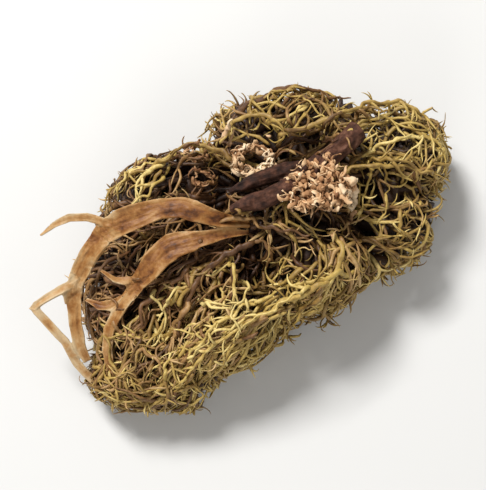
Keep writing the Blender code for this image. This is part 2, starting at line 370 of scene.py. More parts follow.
def makeField(settings):
    trees = tuftTrees()
    skin = skinPoints(trees, settings)
    skinTree = treeOf(skin)
    cell = settings["cell"]
    low = np.array(cadLow) - settings["margin"]
    counts = np.ceil((np.array(cadHigh) + settings["margin"] - low) / cell).astype(int) + 1
    axes = [low[k] + cell * np.arange(counts[k]) for k in range(3)]
    grid = np.stack(np.meshgrid(*axes, indexing="ij"), -1).reshape(-1, 3)
    inside = np.zeros(len(grid))
    reach = settings["lumpReach"]
    for node in tuftNodes:
        boxLow, boxHigh = boxOf(node)
        close = np.all((grid > boxLow - reach) & (grid < boxHigh + reach), axis=1)
        for k in np.nonzero(close)[0]:
            inside[k] += math.exp(signedReach(trees[node], grid[k], reach) / settings["blend"])
    depth = np.array([skinTree.find(spot)[2] for spot in grid])
    depth = np.where(inside > 1, depth, -depth).reshape(counts)
    for axis in range(3):
        padded = np.concatenate([depth.take([0], axis), depth, depth.take([-1], axis)], axis)
        size = depth.shape[axis]
        depth = (padded.take(range(size), axis) + 2 * depth + padded.take(range(2, size + 2), axis)) / 4
    inward = unit(np.stack(np.gradient(depth, cell), -1))

    guides = [spines[node] for node in stemNodes + lobeNodes]
    middle = np.concatenate([guide["middle"] for guide in guides])
    along = np.concatenate([guide["along"] for guide in guides])
    flow = np.zeros((len(grid), 3))
    for first in range(0, len(grid), settings["chunk"]):
        part = grid[first:first + settings["chunk"]]
        apart = ((part[:, None] - middle[None]) ** 2).sum(-1)
        weight = 1 / (apart + settings["flowReach"] ** 2) ** 1.5
        flow[first:first + settings["chunk"]] = weight @ along
    outward = grid - np.array(twigPoint)
    outward[:, 2] *= settings["levelling"]
    share = settings["radialShare"]
    flow = unit(unit(flow) * (1 - share) + unit(outward) * share)
    return {"low": low, "cell": cell, "depth": depth, "inward": inward, "skin": skin,
            "flow": flow.reshape(*counts, 3)}


def lookUp(field, points):
    # depth, inward and flow at any points, blended from the eight cells round each
    place = (points - field["low"]) / field["cell"]
    most = np.array(field["depth"].shape) - 1.001
    place = np.clip(place, 0, most)
    base = place.astype(int)
    share = place - base
    depth = np.zeros(len(points))
    inward = np.zeros((len(points), 3))
    flow = np.zeros((len(points), 3))
    for corner in np.ndindex(2, 2, 2):
        weight = np.prod(np.where(np.array(corner) == 1, share, 1 - share), axis=1)
        where = tuple((base + corner).T)
        depth += weight * field["depth"][where]
        inward += weight[:, None] * field["inward"][where]
        flow += weight[:, None] * field["flow"][where]
    return depth, unit(inward), unit(flow)


field = makeField(fieldSettings)
print("field made:", field["depth"].shape, len(field["skin"]), "skin points")


# branches: paths that wander, fork and curl

boxMargin = 0.25 * mm
lowLimit = np.array(cadLow) - boxMargin
highLimit = np.array(cadHigh) + boxMargin * np.array((1, 1, -1))
# pale pieces that no branch crosses, and how far round each it stays clear, in mm
clearings = {"holdfast_curl": 0.5, "holdfast": -0.5, "pale_flake": 0.3, "pale_scale": 0.1}
growSettings = {
    "bendKept": 0.93,  # share of its bend that a strand carries on with at each step
    "missReach": 0.8 * mm,
    "fenceReach": 0.7 * mm,
    "floorReach": 0.5 * mm,
    "floorLift": 0.4,
    "floor": 0.22 * mm,
    "forkLift": 0.35,
    "swapOdds": (0.7, 0.3),  # that the next fork leaves from the other side, or from the same one
    "toneSpread": 0.13,
    "seedSpread": 0.02,
}
tubeSettings = {
    "taperPower": 1.6,
    "forkSwell": 0.22,
    "lumpLimits": (0.6, 1.5),
    "tipShare": 0.45,
    "rootShare": 0.6,
    "thinning": 0.15,
    "fewestRings": 3,
    "floor": 0.02 * mm,
}


def inTheWay(path):
    # which places lie over a clearing
    found = np.zeros(path.shape[:2], bool)
    for node, margin in clearings.items():
        low, high = boxOf(node)
        centre, half = (low + high) / 2, (high - low) / 2 + margin * mm
        apart = ((path[..., :2] - centre[:2]) / half[:2]) ** 2
        found |= (apart.sum(-1) < 1) & (path[..., 2] > centre[2])
    return found


def turned(vectors, axes, angles):
    # each vector turned about its own axis
    c, s = np.cos(angles)[:, None], np.sin(angles)[:, None]
    along = (axes * vectors).sum(1, keepdims=True)
    return vectors * c + np.cross(axes, vectors) * s + axes * along * (1 - c)


def growPaths(start, heading, length, recipe):
    # strands that grow together, a step at a time, with the places where each one forks
    rules = growSettings
    count = len(start)
    step = recipe["step"]
    rings = np.maximum(3, np.round(length / step)).astype(int)
    most = int(rings.max())
    place, going = start.copy(), unit(heading)
    bend = rng.normal(0, recipe["curl"] / mm, (count, 3))
    wish = rng.uniform(*recipe["depth"], count) * mm
    every = rng.integers(*recipe["forkEvery"], count)
    phase = rng.integers(0, 5, count)
    side = rng.choice([-1.0, 1.0], count)
    path = np.zeros((count, most + 1, 3))
    path[:, 0] = place
    depths = np.zeros((count, most + 1))
    forked = np.zeros((count, most + 1))
    forks = {"strand": [], "ring": [], "place": [], "heading": []}
    for k in range(most):
        share = np.minimum(k / rings, 1)
        depth, inward, flow = lookUp(field, place)
        depths[:, k] = depth
        bend = rules["bendKept"] * bend + rng.normal(0, recipe["waver"] / mm, (count, 3))
        turn = bend * (1 + recipe["hook"] * share**3)[:, None]
        going = going + np.cross(turn, going) * step
        going += flow * (recipe["pull"] * (1 - share))[:, None]
        miss = np.clip((wish - depth) / rules["missReach"], -1, 1)
        going += inward * (miss * recipe["hold"])[:, None]
        leaving = np.minimum((going * inward).sum(1), 0) * np.clip(1 - depth / rules["fenceReach"], 0, 1)
        going -= inward * (leaving * recipe["fence"])[:, None]
        going[:, 2] += np.where(place[:, 2] < rules["floorReach"], rules["floorLift"], 0.0)
        going = unit(going)
        forking = ((k + phase) % every == 0) & (k > 1) & (k < rings - 2)
        if forking.any():
            forked[:, k] = forking
            angle = np.radians(rng.uniform(*recipe["forkAngle"], count)) * side
            child = turned(going, inward, angle)
            lift = rng.normal(0, rules["forkLift"], (count, 1))
            forks["strand"].append(np.nonzero(forking)[0])
            forks["ring"].append(np.full(forking.sum(), k))
            forks["place"].append(place[forking])
            forks["heading"].append(unit(child + inward * lift)[forking])
            kink = turned(going, inward, -side * np.radians(recipe["kink"]))
            going = np.where(forking[:, None], kink, going)
            side = np.where(forking, side * rng.choice([-1.0, 1.0], count, p=rules["swapOdds"]), side)
        place = place + going * step
        place[:, 2] = np.maximum(place[:, 2], rules["floor"])
        path[:, k + 1] = place
    depths[:, most] = lookUp(field, place)[0]
    low, high = recipe["within"]
    outside = (depths < recipe["furthest"] * mm) | np.any((path < low) | (path > high), axis=2)
    outside |= inTheWay(path) & recipe["givesWay"]
    outside[:, :3] = False
    first = np.where(outside.any(1), outside.argmax(1), most)
    rings = np.minimum(rings, first)
    forks = {key: np.concatenate(value) if value else np.zeros(0, int) for key, value in forks.items()}
    if len(forks["strand"]):
        grew = forks["ring"] < rings[forks["strand"]] - 1
        forks = {key: value[grew] for key, value in forks.items()}
    return {"path": path, "rings": rings, "depths": depths, "forks": forks, "forked": forked}


def levelOf(grown, recipe, base, seed):
    thick = rng.uniform(*recipe["thick"], len(base)) * mm / 2
    return {"grown": grown, "base": base, "seed": seed, "radius": thick, "recipe": recipe}


def branchOut(parentLevel, recipes):
    # the forks on a level of strands, and the forks on those
    levels = []
    for recipe in recipes:
        grown, before = parentLevel["grown"], parentLevel["recipe"]
        forks = grown["forks"]
        if not len(forks["strand"]):
            break
        keep = rng.random(len(forks["strand"])) < before["forkShare"]
        parent, ring = forks["strand"][keep], forks["ring"][keep]
        if not len(parent):
            break
        gone = ring / grown["rings"][parent]
        base = parentLevel["base"][parent] + before["toneGain"] * gone
        seed = (parentLevel["seed"][parent] + rng.normal(0, growSettings["seedSpread"], len(parent))) % 1
        length = rng.uniform(*recipe["length"], len(parent)) * mm * (1.15 - 0.5 * gone)
        longer = growPaths(forks["place"][keep], forks["heading"][keep], length, recipe)
        parentLevel = levelOf(longer, recipe, base, seed)
        levels.append(parentLevel)
    return levels


def growPlant(start, heading, recipes):
    # a stem with its forks, and the forks on those
    length = rng.uniform(*recipes[0]["length"], len(start)) * mm
    grown = growPaths(start, heading, length, recipes[0])
    base = np.full(len(start), recipes[0]["tone"]) + rng.normal(0, growSettings["toneSpread"], len(start))
    first = levelOf(grown, recipes[0], base, rng.random(len(start)))
    return [first] + branchOut(first, recipes[1:])


def smoothNoise(count, most, passes=2):
    # uneven swellings along each strand
    rough = rng.normal(size=(count, most))
    for _ in range(passes):
        rough[:, 1:-1] = (rough[:, :-2] + rough[:, 1:-1] + rough[:, 2:]) / 2
    return rough / max(rough.std(), 1e-9)


def tubeArrays(levels):
    # points, quads and end caps of all the strands, with what each point is like
    shape = tubeSettings
    points, quads, caps, tones, seeds, depths = [], [], [], [], [], []
    offset = 0
    for level in levels:
        grown, recipe = level["grown"], level["recipe"]
        path, rings, sides = grown["path"], grown["rings"], recipe["sides"]
        count, most = path.shape[:2]
        along = unit(np.gradient(path, axis=1))
        last = np.minimum(rings, most - 1)
        facing = lookUp(field, path[:, 0])[1] + rng.normal(0, recipe["roll"], (count, 3))
        side = unit(np.cross(along[:, 0], facing))
        frames = np.zeros((count, most, 3))
        for k in range(most):
            side = unit(side - along[:, k] * (side * along[:, k]).sum(1, keepdims=True))
            frames[:, k] = side
        other = np.cross(along, frames)
        share = np.minimum(np.arange(most)[None] / np.maximum(last, 1)[:, None], 1)
        taper = 1 - (1 - recipe["tip"]) * share**shape["taperPower"]
        lumps = 1 + recipe["lumpy"] * smoothNoise(count, most)
        lumps = lumps + shape["forkSwell"] * grown["forked"][:, :most]
        radius = level["radius"][:, None] * taper * np.clip(lumps, *shape["lumpLimits"])
        radius[np.arange(count), last] *= shape["tipShare"]
        radius[:, 0] *= shape["rootShare"]
        angles = 2 * math.pi * np.arange(sides) / sides
        thin = recipe["flat"] * (1 + shape["thinning"] * smoothNoise(count, most, 4))[:, :, None, None]
        ring = (np.cos(angles)[None, None, :, None] * frames[:, :, None]
                + np.sin(angles)[None, None, :, None] * other[:, :, None] * thin)
        spots = path[:, :, None] + ring * radius[:, :, None, None]
        kept = rings > shape["fewestRings"]
        alive = (np.arange(most)[None] <= last[:, None]) & kept[:, None]
        number = (np.cumsum(alive.ravel()).reshape(alive.shape) - 1) * sides + offset
        points.append(spots[alive].reshape(-1, 3))
        tone = level["base"][:, None] + recipe["toneGain"] * share
        tones.append(np.repeat(tone[alive], sides))
        seeds.append(np.repeat(np.broadcast_to(level["seed"][:, None], alive.shape)[alive], sides))
        depths.append(np.repeat(grown["depths"][:, :most][alive], sides))
        linked = alive[:, 1:]
        here, there = number[:, :-1][linked], number[:, 1:][linked]
        for k in range(sides):
            n = (k + 1) % sides
            quads.append(np.stack([here + k, here + n, there + n, there + k], 1))
        starts = number[kept, 0]
        ends = number[kept, last[kept]]
        caps.append(np.stack([starts + k for k in reversed(range(sides))], 1))
        caps.append(np.stack([ends + k for k in range(sides)], 1))
        offset += int(alive.sum()) * sides
    return {"points": np.concatenate(points), "faces": quads + caps, "tone": np.concatenate(tones),
            "seed": np.concatenate(seeds), "depth": np.concatenate(depths)}


def meshFromArrays(name, arrays):
    mesh = bpy.data.meshes.new(name)
    spots = arrays["points"]
    spots[:, 2] = np.maximum(spots[:, 2], tubeSettings["floor"])
    mesh.vertices.add(len(spots))
    mesh.vertices.foreach_set("co", spots.ravel())
    corners = np.concatenate([faces.ravel() for faces in arrays["faces"]]).astype(np.int32)
    sizes = np.concatenate([np.full(len(faces), faces.shape[1]) for faces in arrays["faces"]])
    starts = np.concatenate([[0], np.cumsum(sizes)[:-1]]).astype(np.int32)
    mesh.loops.add(len(corners))
    mesh.loops.foreach_set("vertex_index", corners)
    mesh.polygons.add(len(sizes))
    mesh.polygons.foreach_set("loop_start", starts)
    mesh.update(calc_edges=True)
    mesh.shade_smooth()
    for key in ("tone", "seed", "depth"):
        scale = 1 / mm if key == "depth" else 1
        writeAttribute(mesh, key, arrays[key] * scale)
    piece = bpy.data.objects.new(name, mesh)
    bpy.context.scene.collection.objects.link(piece)
    return piece


# routes: strands laid over the top of the tuft along a drawn line

routeSettings = {
    "dense": 0.12 * mm,
    "cornerPasses": 14,
    "heightPasses": 30,
    "skyHeight": 0.05,
    "bareHeight": 1.5 * mm,  # where there is nothing below
    "wanderPasses": 3,
    "wanderDivisor": 2.2,
    "forkLift": 0.25,
    "swapShare": 0.7,
}


def topTree():
    shape = bmesh.new()
    for node in tuftNodes + stemNodes + lobeNodes + twigNodes + ["holdfast"]:
        shape.from_mesh(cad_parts[node].data)
    tree = BVHTree.FromBMesh(shape)
    shape.free()
    return tree


skyTree = topTree()


def topHeights(points):
    heights = np.zeros(len(points))
    for k, (x, y) in enumerate(points):
        hit = skyTree.ray_cast(Vector((x, y, routeSettings["skyHeight"])), Vector((0, 0, -1)))[0]
        heights[k] = hit.z if hit else routeSettings["bareHeight"]
    return heights


def laidPath(route, step):
    # a route of (x, y, lift) in mm turned into evenly stepped places over the tuft
    marks = np.array(route, dtype=float) * mm
    walk = walkAlong(marks[:, :2])
    at = np.linspace(0, walk[-1], max(8, round(walk[-1] / routeSettings["dense"])))
    dense = easedLine(readAlong(marks, walk, at), routeSettings["cornerPasses"])
    height = topHeights(dense[:, :2])
    height[0], height[-1] = height[:4].mean(), height[-4:].mean()
    dense[:, 2] += easedLine(height, routeSettings["heightPasses"])
    return evenSteps(dense, step, 4)


def levelFromPaths(paths, recipe, thick, tones):
    # ready-made paths as a first level of strands, with places marked for their forks
    count, most = len(paths), max(len(path) for path in paths)
    full = np.stack([np.concatenate([path, np.repeat(path[-1:], most - len(path), 0)]) for path in paths])
    rings = np.array([len(path) - 1 for path in paths])
    wander = rng.normal(0, recipe["waver"] * mm, full.shape)
    for _ in range(routeSettings["wanderPasses"]):
        wander[:, 1:-1] = (wander[:, :-2] + wander[:, 1:-1] + wander[:, 2:]) / routeSettings["wanderDivisor"]
    full = np.clip(full + wander, lowLimit, highLimit)
    forks = {"strand": [], "ring": [], "place": [], "heading": []}
    forked = np.zeros((count, most))
    for k, path in enumerate(paths):
        side = rng.choice([-1.0, 1.0])
        ring = int(rng.integers(*recipe["forkEvery"]))
        while ring < len(path) - 2:
            along = unit(full[k, ring + 1] - full[k, ring - 1])[None]
            inward = lookUp(field, full[k, ring][None])[1]
            angle = np.radians(rng.uniform(*recipe["forkAngle"], 1)) * side
            heading = unit(turned(along, inward, angle) + inward * rng.normal(0, routeSettings["forkLift"]))
            forks["strand"].append(k)
            forks["ring"].append(ring)
            forks["place"].append(full[k, ring])
            forks["heading"].append(heading[0])
            forked[k, ring] = 1
            side = -side if rng.random() < routeSettings["swapShare"] else side
            ring += int(rng.integers(*recipe["forkEvery"]))
    forks = {key: np.array(value) for key, value in forks.items()}
    grown = {"path": full, "rings": rings, "depths": np.zeros((count, most)), "forks": forks,
             "forked": forked}
    level = levelOf(grown, recipe, np.array(tones, dtype=float), rng.random(count))
    level["radius"] = np.array(thick, dtype=float) * mm / 2
    return level


# finishes

def newMaterial(name):
    paint = bpy.data.materials.new(name)
    paint.use_nodes = True
    tree = paint.node_tree
    return paint, tree, tree.nodes["Principled BSDF"]


def addNode(tree, kind, **values):
    made = tree.nodes.new(kind)
    for key, value in values.items():
        if hasattr(made, key):
            setattr(made, key, value)
        else:
            made.inputs[key].default_value = value
    return made


def attributeNode(tree, name):
    return addNode(tree, "ShaderNodeAttribute", attribute_name=name).outputs["Fac"]


def noiseNode(tree, scale, detail=3.0, rough=0.55):
    where = addNode(tree, "ShaderNodeTexCoord").outputs["Object"]
    made = addNode(tree, "ShaderNodeTexNoise", Scale=scale, Detail=detail, Roughness=rough)
    tree.links.new(where, made.inputs["Vector"])
    return made.outputs["Fac"]


def mathNode(tree, operation, first, second=0.0, third=None):
    made = addNode(tree, "ShaderNodeMath", operation=operation)
    for slot, value in enumerate((first, second, third)):
        if value is None:
            continue
        if isinstance(value, (int, float)):
            made.inputs[slot].default_value = value
        else:
            tree.links.new(value, made.inputs[slot])
    return made.outputs[0]


def rampNode(tree, value, stops):
    made = addNode(tree, "ShaderNodeValToRGB")
    ramp = made.color_ramp
    while len(ramp.elements) < len(stops):
        ramp.elements.new(0.5)
    for element, (place, colour) in zip(ramp.elements, stops):
        element.position = place
        element.color = (*colour, 1)
    tree.links.new(value, made.inputs["Fac"])
    return made.outputs["Color"]


def mixNode(tree, factor, first, second, blend="MIX"):
    made = addNode(tree, "ShaderNodeMix", data_type="RGBA", blend_type=blend)
    for slot, value in (("Factor", factor), ("A", first), ("B", second)):
        socket = next(s for s in made.inputs if s.name == slot and s.enabled)
        if isinstance(value, (int, float)):
            socket.default_value = value
        elif isinstance(value, tuple):
            socket.default_value = (*value, 1)
        else:
            tree.links.new(value, socket)
    return next(s for s in made.outputs if s.enabled)


def rangeNode(tree, value, low, high, top=1.0):
    made = addNode(tree, "ShaderNodeMapRange", **{"From Min": low, "From Max": high, "To Max": top})
    tree.links.new(value, made.inputs["Value"])
    return made.outputs[0]


def stirNode(tree, grain, share, value):
    # a value with a grain's ups and downs added to it
    return mathNode(tree, "MULTIPLY_ADD", mathNode(tree, "SUBTRACT", grain, 0.5), share, value)


def coat(tree, shader, colour, roughness, gloss):
    tree.links.new(colour, shader.inputs["Base Color"])
    shader.inputs["Roughness"].default_value = roughness
    shader.inputs["Specular IOR Level"].default_value = gloss


def bumpInto(tree, shader, height, distance, strength=0.8):
    made = addNode(tree, "ShaderNodeBump", Distance=distance, Strength=strength)
    tree.links.new(height, made.inputs["Height"])
    tree.links.new(made.outputs["Normal"], shader.inputs["Normal"])


strandFinish = {
    "young": [(0.0, (0.070, 0.029, 0.006)), (0.28, (0.165, 0.089, 0.020)), (0.58, (0.33, 0.210, 0.049)),
              (0.82, (0.46, 0.320, 0.082)), (1.0, (0.64, 0.49, 0.18))],
    "old": [(0.0, (0.050, 0.018, 0.005)), (0.35, (0.135, 0.058, 0.018)), (0.7, (0.28, 0.150, 0.050)),
            (1.0, (0.48, 0.31, 0.135))],
    "patchScale": 260.0,
    "mottleScales": (1900.0, 620.0),
    "mottle": 0.55,
    "seedShare": 0.45,
    "oddRate": 7.31,  # spreads the seeds out again, so that colour and brownness differ
    "brownFrom": 1.15,
    "brownTo": 1.35,
    "brownShares": (0.8, 0.2),  # from the patches, and all over
    # painted shade: the deeper a point lies under the tuft's skin (in mm, between the next two values), the
    # more of this dark tone is mixed in, up to the share after them
    "paintedShadeTone": (0.022, 0.008, 0.003),
    "paintedShadeFrom": 0.25,
    "paintedShadeTo": 2.2,
    "paintedShadeShare": 0.93,
    "roughness": 0.55,
    "gloss": 0.4,
    "bumpScale": 3200.0,
    "bump": 0.06,
}


def strandMaterial(name, browning):
    look = strandFinish
    paint, tree, shader = newMaterial(name)
    seed = attributeNode(tree, "seed")
    value = attributeNode(tree, "tone")
    for scale in look["mottleScales"]:
        value = stirNode(tree, noiseNode(tree, scale, 2.0), look["mottle"], value)
    value = stirNode(tree, seed, look["seedShare"], value)
    odd = mathNode(tree, "FRACT", mathNode(tree, "MULTIPLY", seed, look["oddRate"]))
    patches = mathNode(tree, "MULTIPLY", noiseNode(tree, look["patchScale"]), 0.9)
    share = mathNode(tree, "ADD", patches, mathNode(tree, "MULTIPLY", odd, 0.6))
    brown = rangeNode(tree, share, look["brownFrom"] - browning, look["brownTo"] - browning)
    patchy, allOver = look["brownShares"]
    soft = mathNode(tree, "MULTIPLY_ADD", brown, patchy, browning * allOver)
    colour = mixNode(tree, soft, rampNode(tree, value, look["young"]), rampNode(tree, value, look["old"]))
    # painted shade: strands turn towards a dark tone the deeper they lie in the tuft
    deep = rangeNode(tree, attributeNode(tree, "depth"), look["paintedShadeFrom"], look["paintedShadeTo"], look["paintedShadeShare"])
    coat(tree, shader, mixNode(tree, deep, colour, look["paintedShadeTone"]), look["roughness"], look["gloss"])
    bumpInto(tree, shader, noiseNode(tree, look["bumpScale"], 2.0), look["bump"] * mm)
    return paint


# recipes: lengths in mm, angles in degrees, one entry a level

plainStrand = {"length": (5, 11), "thick": (0.45, 0.7), "step": 0.45 * mm, "curl": 0.06, "waver": 0.03,
               "hook": 1.0, "pull": 0.14, "depth": (0.6, 2.6), "hold": 0.22, "fence": 0.9,
               "furthest": -0.3, "forkEvery": (4, 8), "forkAngle": (28, 55), "forkShare": 0.7, "kink": 14,
               "sides": 5, "tip": 0.5, "toneGain": 0.35, "tone": 0.05, "flat": 0.75, "roll": 0.6,
               "lumpy": 0.14, "within": (lowLimit, highLimit), "givesWay": True}
# deep fill: thick strands inside each tuft that close it from view, drawn dark by their low tone and by the
# painted shade that their depth gives them
fillStrand = {**plainStrand, "length": (6, 11), "thick": (1.2, 2.0), "step": 0.8 * mm,
              "depth": (2.2, 6.0), "pull": 0.0, "hold": 0.25, "furthest": 0.9, "forkShare": 0.0,
              "tip": 0.7, "toneGain": 0.0, "tone": -0.1}
sideStrand = {**plainStrand, "length": (2.2, 5.5), "thick": (0.34, 0.52), "step": 0.4 * mm, "curl": 0.12,
              "waver": 0.05, "hook": 1.5, "pull": 0.05, "depth": (0.3, 1.6), "fence": 0.7,
              "forkShare": 0.5, "forkEvery": (4, 7), "forkAngle": (32, 64), "kink": 18, "tip": 0.42}
runner = {**plainStrand, "length": (5, 12), "thick": (0.44, 0.68), "step": 0.42 * mm, "curl": 0.15,
          "waver": 0.05, "pull": 0.11, "depth": (-0.5, 0.7), "fence": 0.5, "furthest": -1.0,
          "forkAngle": (28, 58), "forkShare": 0.65, "kink": 20, "sides": 6, "tip": 0.3, "tone": 0.36}
runnerSide = {**runner, "length": (2.4, 7.0), "thick": (0.34, 0.50), "step": 0.36 * mm, "curl": 0.22,
              "waver": 0.08, "hook": 2.2, "pull": 0.06, "depth": (-0.5, 0.8), "hold": 0.18,
              "furthest": -1.7, "forkEvery": (4, 7), "forkAngle": (26, 54), "forkShare": 0.38, "sides": 5,
              "tip": 0.28, "toneGain": 0.3}
looper = {**runner, "length": (4, 9), "thick": (0.38, 0.56), "curl": 0.42, "waver": 0.03, "hook": 0.3,
          "pull": 0.02, "depth": (-0.9, 0.2), "hold": 0.16, "fence": 0.2, "forkShare": 0.35, "kink": 8,
          "tip": 0.5}
ridgeRunner = {**runner, "length": (6, 13), "thick": (0.44, 0.66), "curl": 0.07, "waver": 0.04,
               "pull": 0.25, "depth": (-0.3, 0.4), "hold": 0.28, "furthest": -2.6, "forkAngle": (20, 42),
               "kink": 14, "tone": 0.52}
fringe = {**runner, "length": (2.0, 5.0), "thick": (0.34, 0.52), "step": 0.32 * mm, "curl": 0.26,
          "waver": 0.08, "hook": 2.0, "pull": 0.03, "depth": (-1.3, 0.2), "hold": 0.12, "fence": 0.0,
          "furthest": -2.2, "forkEvery": (3, 6), "forkAngle": (26, 50), "forkShare": 0.35, "kink": 18,
          "sides": 5, "tip": 0.26}
tipStrand = {**plainStrand, "length": (1.4, 3.8), "thick": (0.24, 0.36), "step": 0.3 * mm, "curl": 0.38,
             "waver": 0.12, "hook": 2.5, "pull": 0.0, "depth": (-0.7, 0.6), "hold": 0.09, "fence": 0.1,
             "furthest": -2.2, "forkShare": 0.0, "sides": 4, "tip": 0.22, "toneGain": 0.25}

# node: how many strands of each kind (deep fill, plain, runners, loops, fringe), how brown the tuft is,
# and what differs in its runners
tuftSettings = {
    "tuft_heart": ((110, 30, 26, 10, 14), 0.85, {"depth": (0.6, 2.5)}),
    "tuft_south": ((54, 26, 42, 18, 10), 0.12, {"tone": 0.44, "length": (8, 16), "curl": 0.09, "pull": 0.2}),
    "tuft_southeast": ((52, 26, 40, 12, 26), 0.3, {"tone": 0.38}),
    "tuft_east": ((50, 26, 40, 14, 40), 0.3, {"tone": 0.38}),
    "tuft_northeast": ((84, 28, 46, 20, 30), 0.25, {"tone": 0.38}),
    "tuft_north": ((120, 30, 46, 22, 30), 0.35, {"tone": 0.34}),
    "tuft_northwest": ((120, 30, 36, 10, 26), 0.7, {"tone": 0.18}),
    "tuft_west": ((84, 30, 40, 8, 24), 0.95, {"tone": 0.30, "length": (8, 15), "pull": 0.25, "curl": 0.08}),
    "tuft_southwest": ((52, 26, 46, 24, 20), 0.4, {"tone": 0.36, "length": (7, 14)}),
    "tuft_nest": ((84, 30, 40, 8, 22), 1.0, {"tone": 0.30, "length": (8, 15), "pull": 0.25, "curl": 0.08}),
}
# where each kind of strand starts: how far under the skin, how far back, how much its heading varies
rootSettings = {
    "plain": ((1.0, 3.5), (1.5, 5.0), 0.5),
    "runner": ((0.3, 1.6), (0.5, 4.0), 0.7),
    "loop": ((0.2, 1.2), (0.0, 3.0), 1.2),
    "fringe": ((0.2, 0.9), (0.0, 1.0), 1.0),
}
fillSettings = {"least": 1.8 * mm, "tries": 12, "level": 0.35}
skinReach = 0.2 * mm
edgeGap = 0.4 * mm
sinking = 0.15  # how much a heading leans in under the skin
fringeSettings = {"tries": 3, "shy": 0.12, "topShy": 1.3, "spread": 0.45, "onward": 0.8, "outward": 0.65}


def rootsIn(node, count, under, behind, spread):
    # starting points under the skin of one tuft, with a heading
    low, high = boxOf(node)
    skin = field["skin"]
    own = skin[np.all((skin > low - skinReach) & (skin < high + skinReach), axis=1)]
    chosen = own[rng.integers(0, len(own), count)]
    _, inward, flow = lookUp(field, chosen)
    start = chosen + inward * (rng.uniform(*under, (count, 1)) * mm)
    start -= flow * (rng.uniform(*behind, (count, 1)) * mm)
    start = np.clip(start, lowLimit + edgeGap, highLimit - edgeGap)
    return start, unit(flow + rng.normal(0, spread, (count, 3)) - inward * sinking)


def rootsDeep(node, count, settings):
    # starting points well inside one tuft, heading any level way
    low, high = boxOf(node)
    tried = rng.uniform(low, high, (count * settings["tries"], 3))
    deep = tried[lookUp(field, tried)[0] > settings["least"]][:count]
    return deep, unit(rng.normal(size=deep.shape) * (1, 1, settings["level"]))


def rootsOut(node, count, settings):
    # starting points just under the skin, heading out of it, few of them on top
    start, _ = rootsIn(node, count * settings["tries"], *rootSettings["fringe"])
    _, inward, flow = lookUp(field, start)
    wanted = rng.random(len(start)) > settings["shy"] - inward[:, 2] * settings["topShy"]
    chosen = np.nonzero(wanted)[0][:count]
    start, inward, flow = start[chosen], inward[chosen], flow[chosen]
    heading = rng.normal(0, settings["spread"], (len(chosen), 3)) + flow * settings["onward"]
    return start, unit(heading - inward * settings["outward"])


def makeTuft(node, counts, browning, changes):
    fill, plain, runners, loops, edge = counts
    changed = {**runner, **changes}
    looping = {**looper, "tone": changed["tone"] + 0.05}
    fringing = {**fringe, "tone": changed["tone"]}
    levels = growPlant(*rootsDeep(node, fill, fillSettings), [fillStrand])
    levels += growPlant(*rootsIn(node, plain, *rootSettings["plain"]), [plainStrand, sideStrand, tipStrand])
    levels += growPlant(*rootsIn(node, runners, *rootSettings["runner"]), [changed, runnerSide, tipStrand])
    levels += growPlant(*rootsIn(node, loops, *rootSettings["loop"]), [looping, tipStrand])
    levels += growPlant(*rootsOut(node, edge, fringeSettings), [fringing, tipStrand])
    piece = meshFromArrays("branches_" + node[5:], tubeArrays(levels))
    finishPiece(piece, strandMaterial("branchFinish_" + node[5:], browning), [node])


for node, settings in tuftSettings.items():
    makeTuft(node, *settings)


# brown strands that close the hollows between the tufts, darkened with painted shade

coreStrand = {**fillStrand, "length": (4, 8), "thick": (0.9, 1.7), "depth": (-1, 3), "hold": 0.02,
              "fence": 0.0, "furthest": -9.0, "curl": 0.09}
# (middle, half size, count), all in mm
coreSettings = [((-3.4, 7.4, 4.4), (4.4, 4.2, 3.0), 80), ((1.6, 0.8, 4.2), (3.6, 3.2, 3.0), 60),
                ((1.6, 12.2, 5.0), (3.6, 3.2, 3.6), 80), ((8.6, 11.0, 4.4), (5.0, 2.4, 3.2), 50),
                ((13.4, 3.0, 4.0), (3.4, 3.4, 2.8), 40), ((-13.0, 7.6, 3.2), (3.4, 2.4, 2.2), 50),
                ((-17.6, -3.0, 2.4), (1.3, 6.0, 1.6), 60), ((8.6, 17.2, 4.6), (6.4, 2.4, 3.4), 90),
                ((1.6, 15.6, 4.4), (3.4, 2.6, 3.2), 80), ((-9.6, 10.6, 2.6), (4.4, 1.4, 1.8), 50),
                ((20.4, 14.2, 3.8), (3.8, 3.2, 2.8), 70), ((22.2, 5.4, 3.2), (2.6, 4.4, 2.2), 50),
                ((-16.2, -0.6, 2.6), (2.2, 2.8, 2.0), 60)]


# shade: the depth in mm given to every point of these strands, which sets how much painted shade they get
coreLook = {"spread": 0.9, "level": 0.25, "shade": 2.0 * mm, "browning": 1.1}


def makeCore(settings, look):
    levels = []
    for middle, half, count in settings:
        middle, half = np.array(middle) * mm, np.array(half) * mm
        start = middle + rng.uniform(-look["spread"], look["spread"], (count, 3)) * half
        heading = unit(rng.normal(size=start.shape) * (1, 1, look["level"]))
        levels += growPlant(start, heading, [{**coreStrand, "within": (middle - half, middle + half)}])
    # painted shade: the same depth on every point mixes these strands towards the dark shade tone
    for level in levels:
        level["grown"]["depths"][:] = look["shade"]
    piece = meshFromArrays("hollowStrands", tubeArrays(levels))
    finishPiece(piece, strandMaterial("hollowFinish", look["browning"]))


makeCore(coreSettings, coreLook)


# stems: the thicker branches that carry the tufts, with side branches leaving them alternately

stemStrand = {**plainStrand, "thick": (0.6, 0.9), "waver": 0.15, "forkEvery": (5, 10),
              "forkAngle": (24, 50), "forkShare": 1.0, "sides": 10, "tip": 0.4, "toneGain": 0.2,
              "flat": 0.72, "roll": 0.2, "lumpy": 0.17}

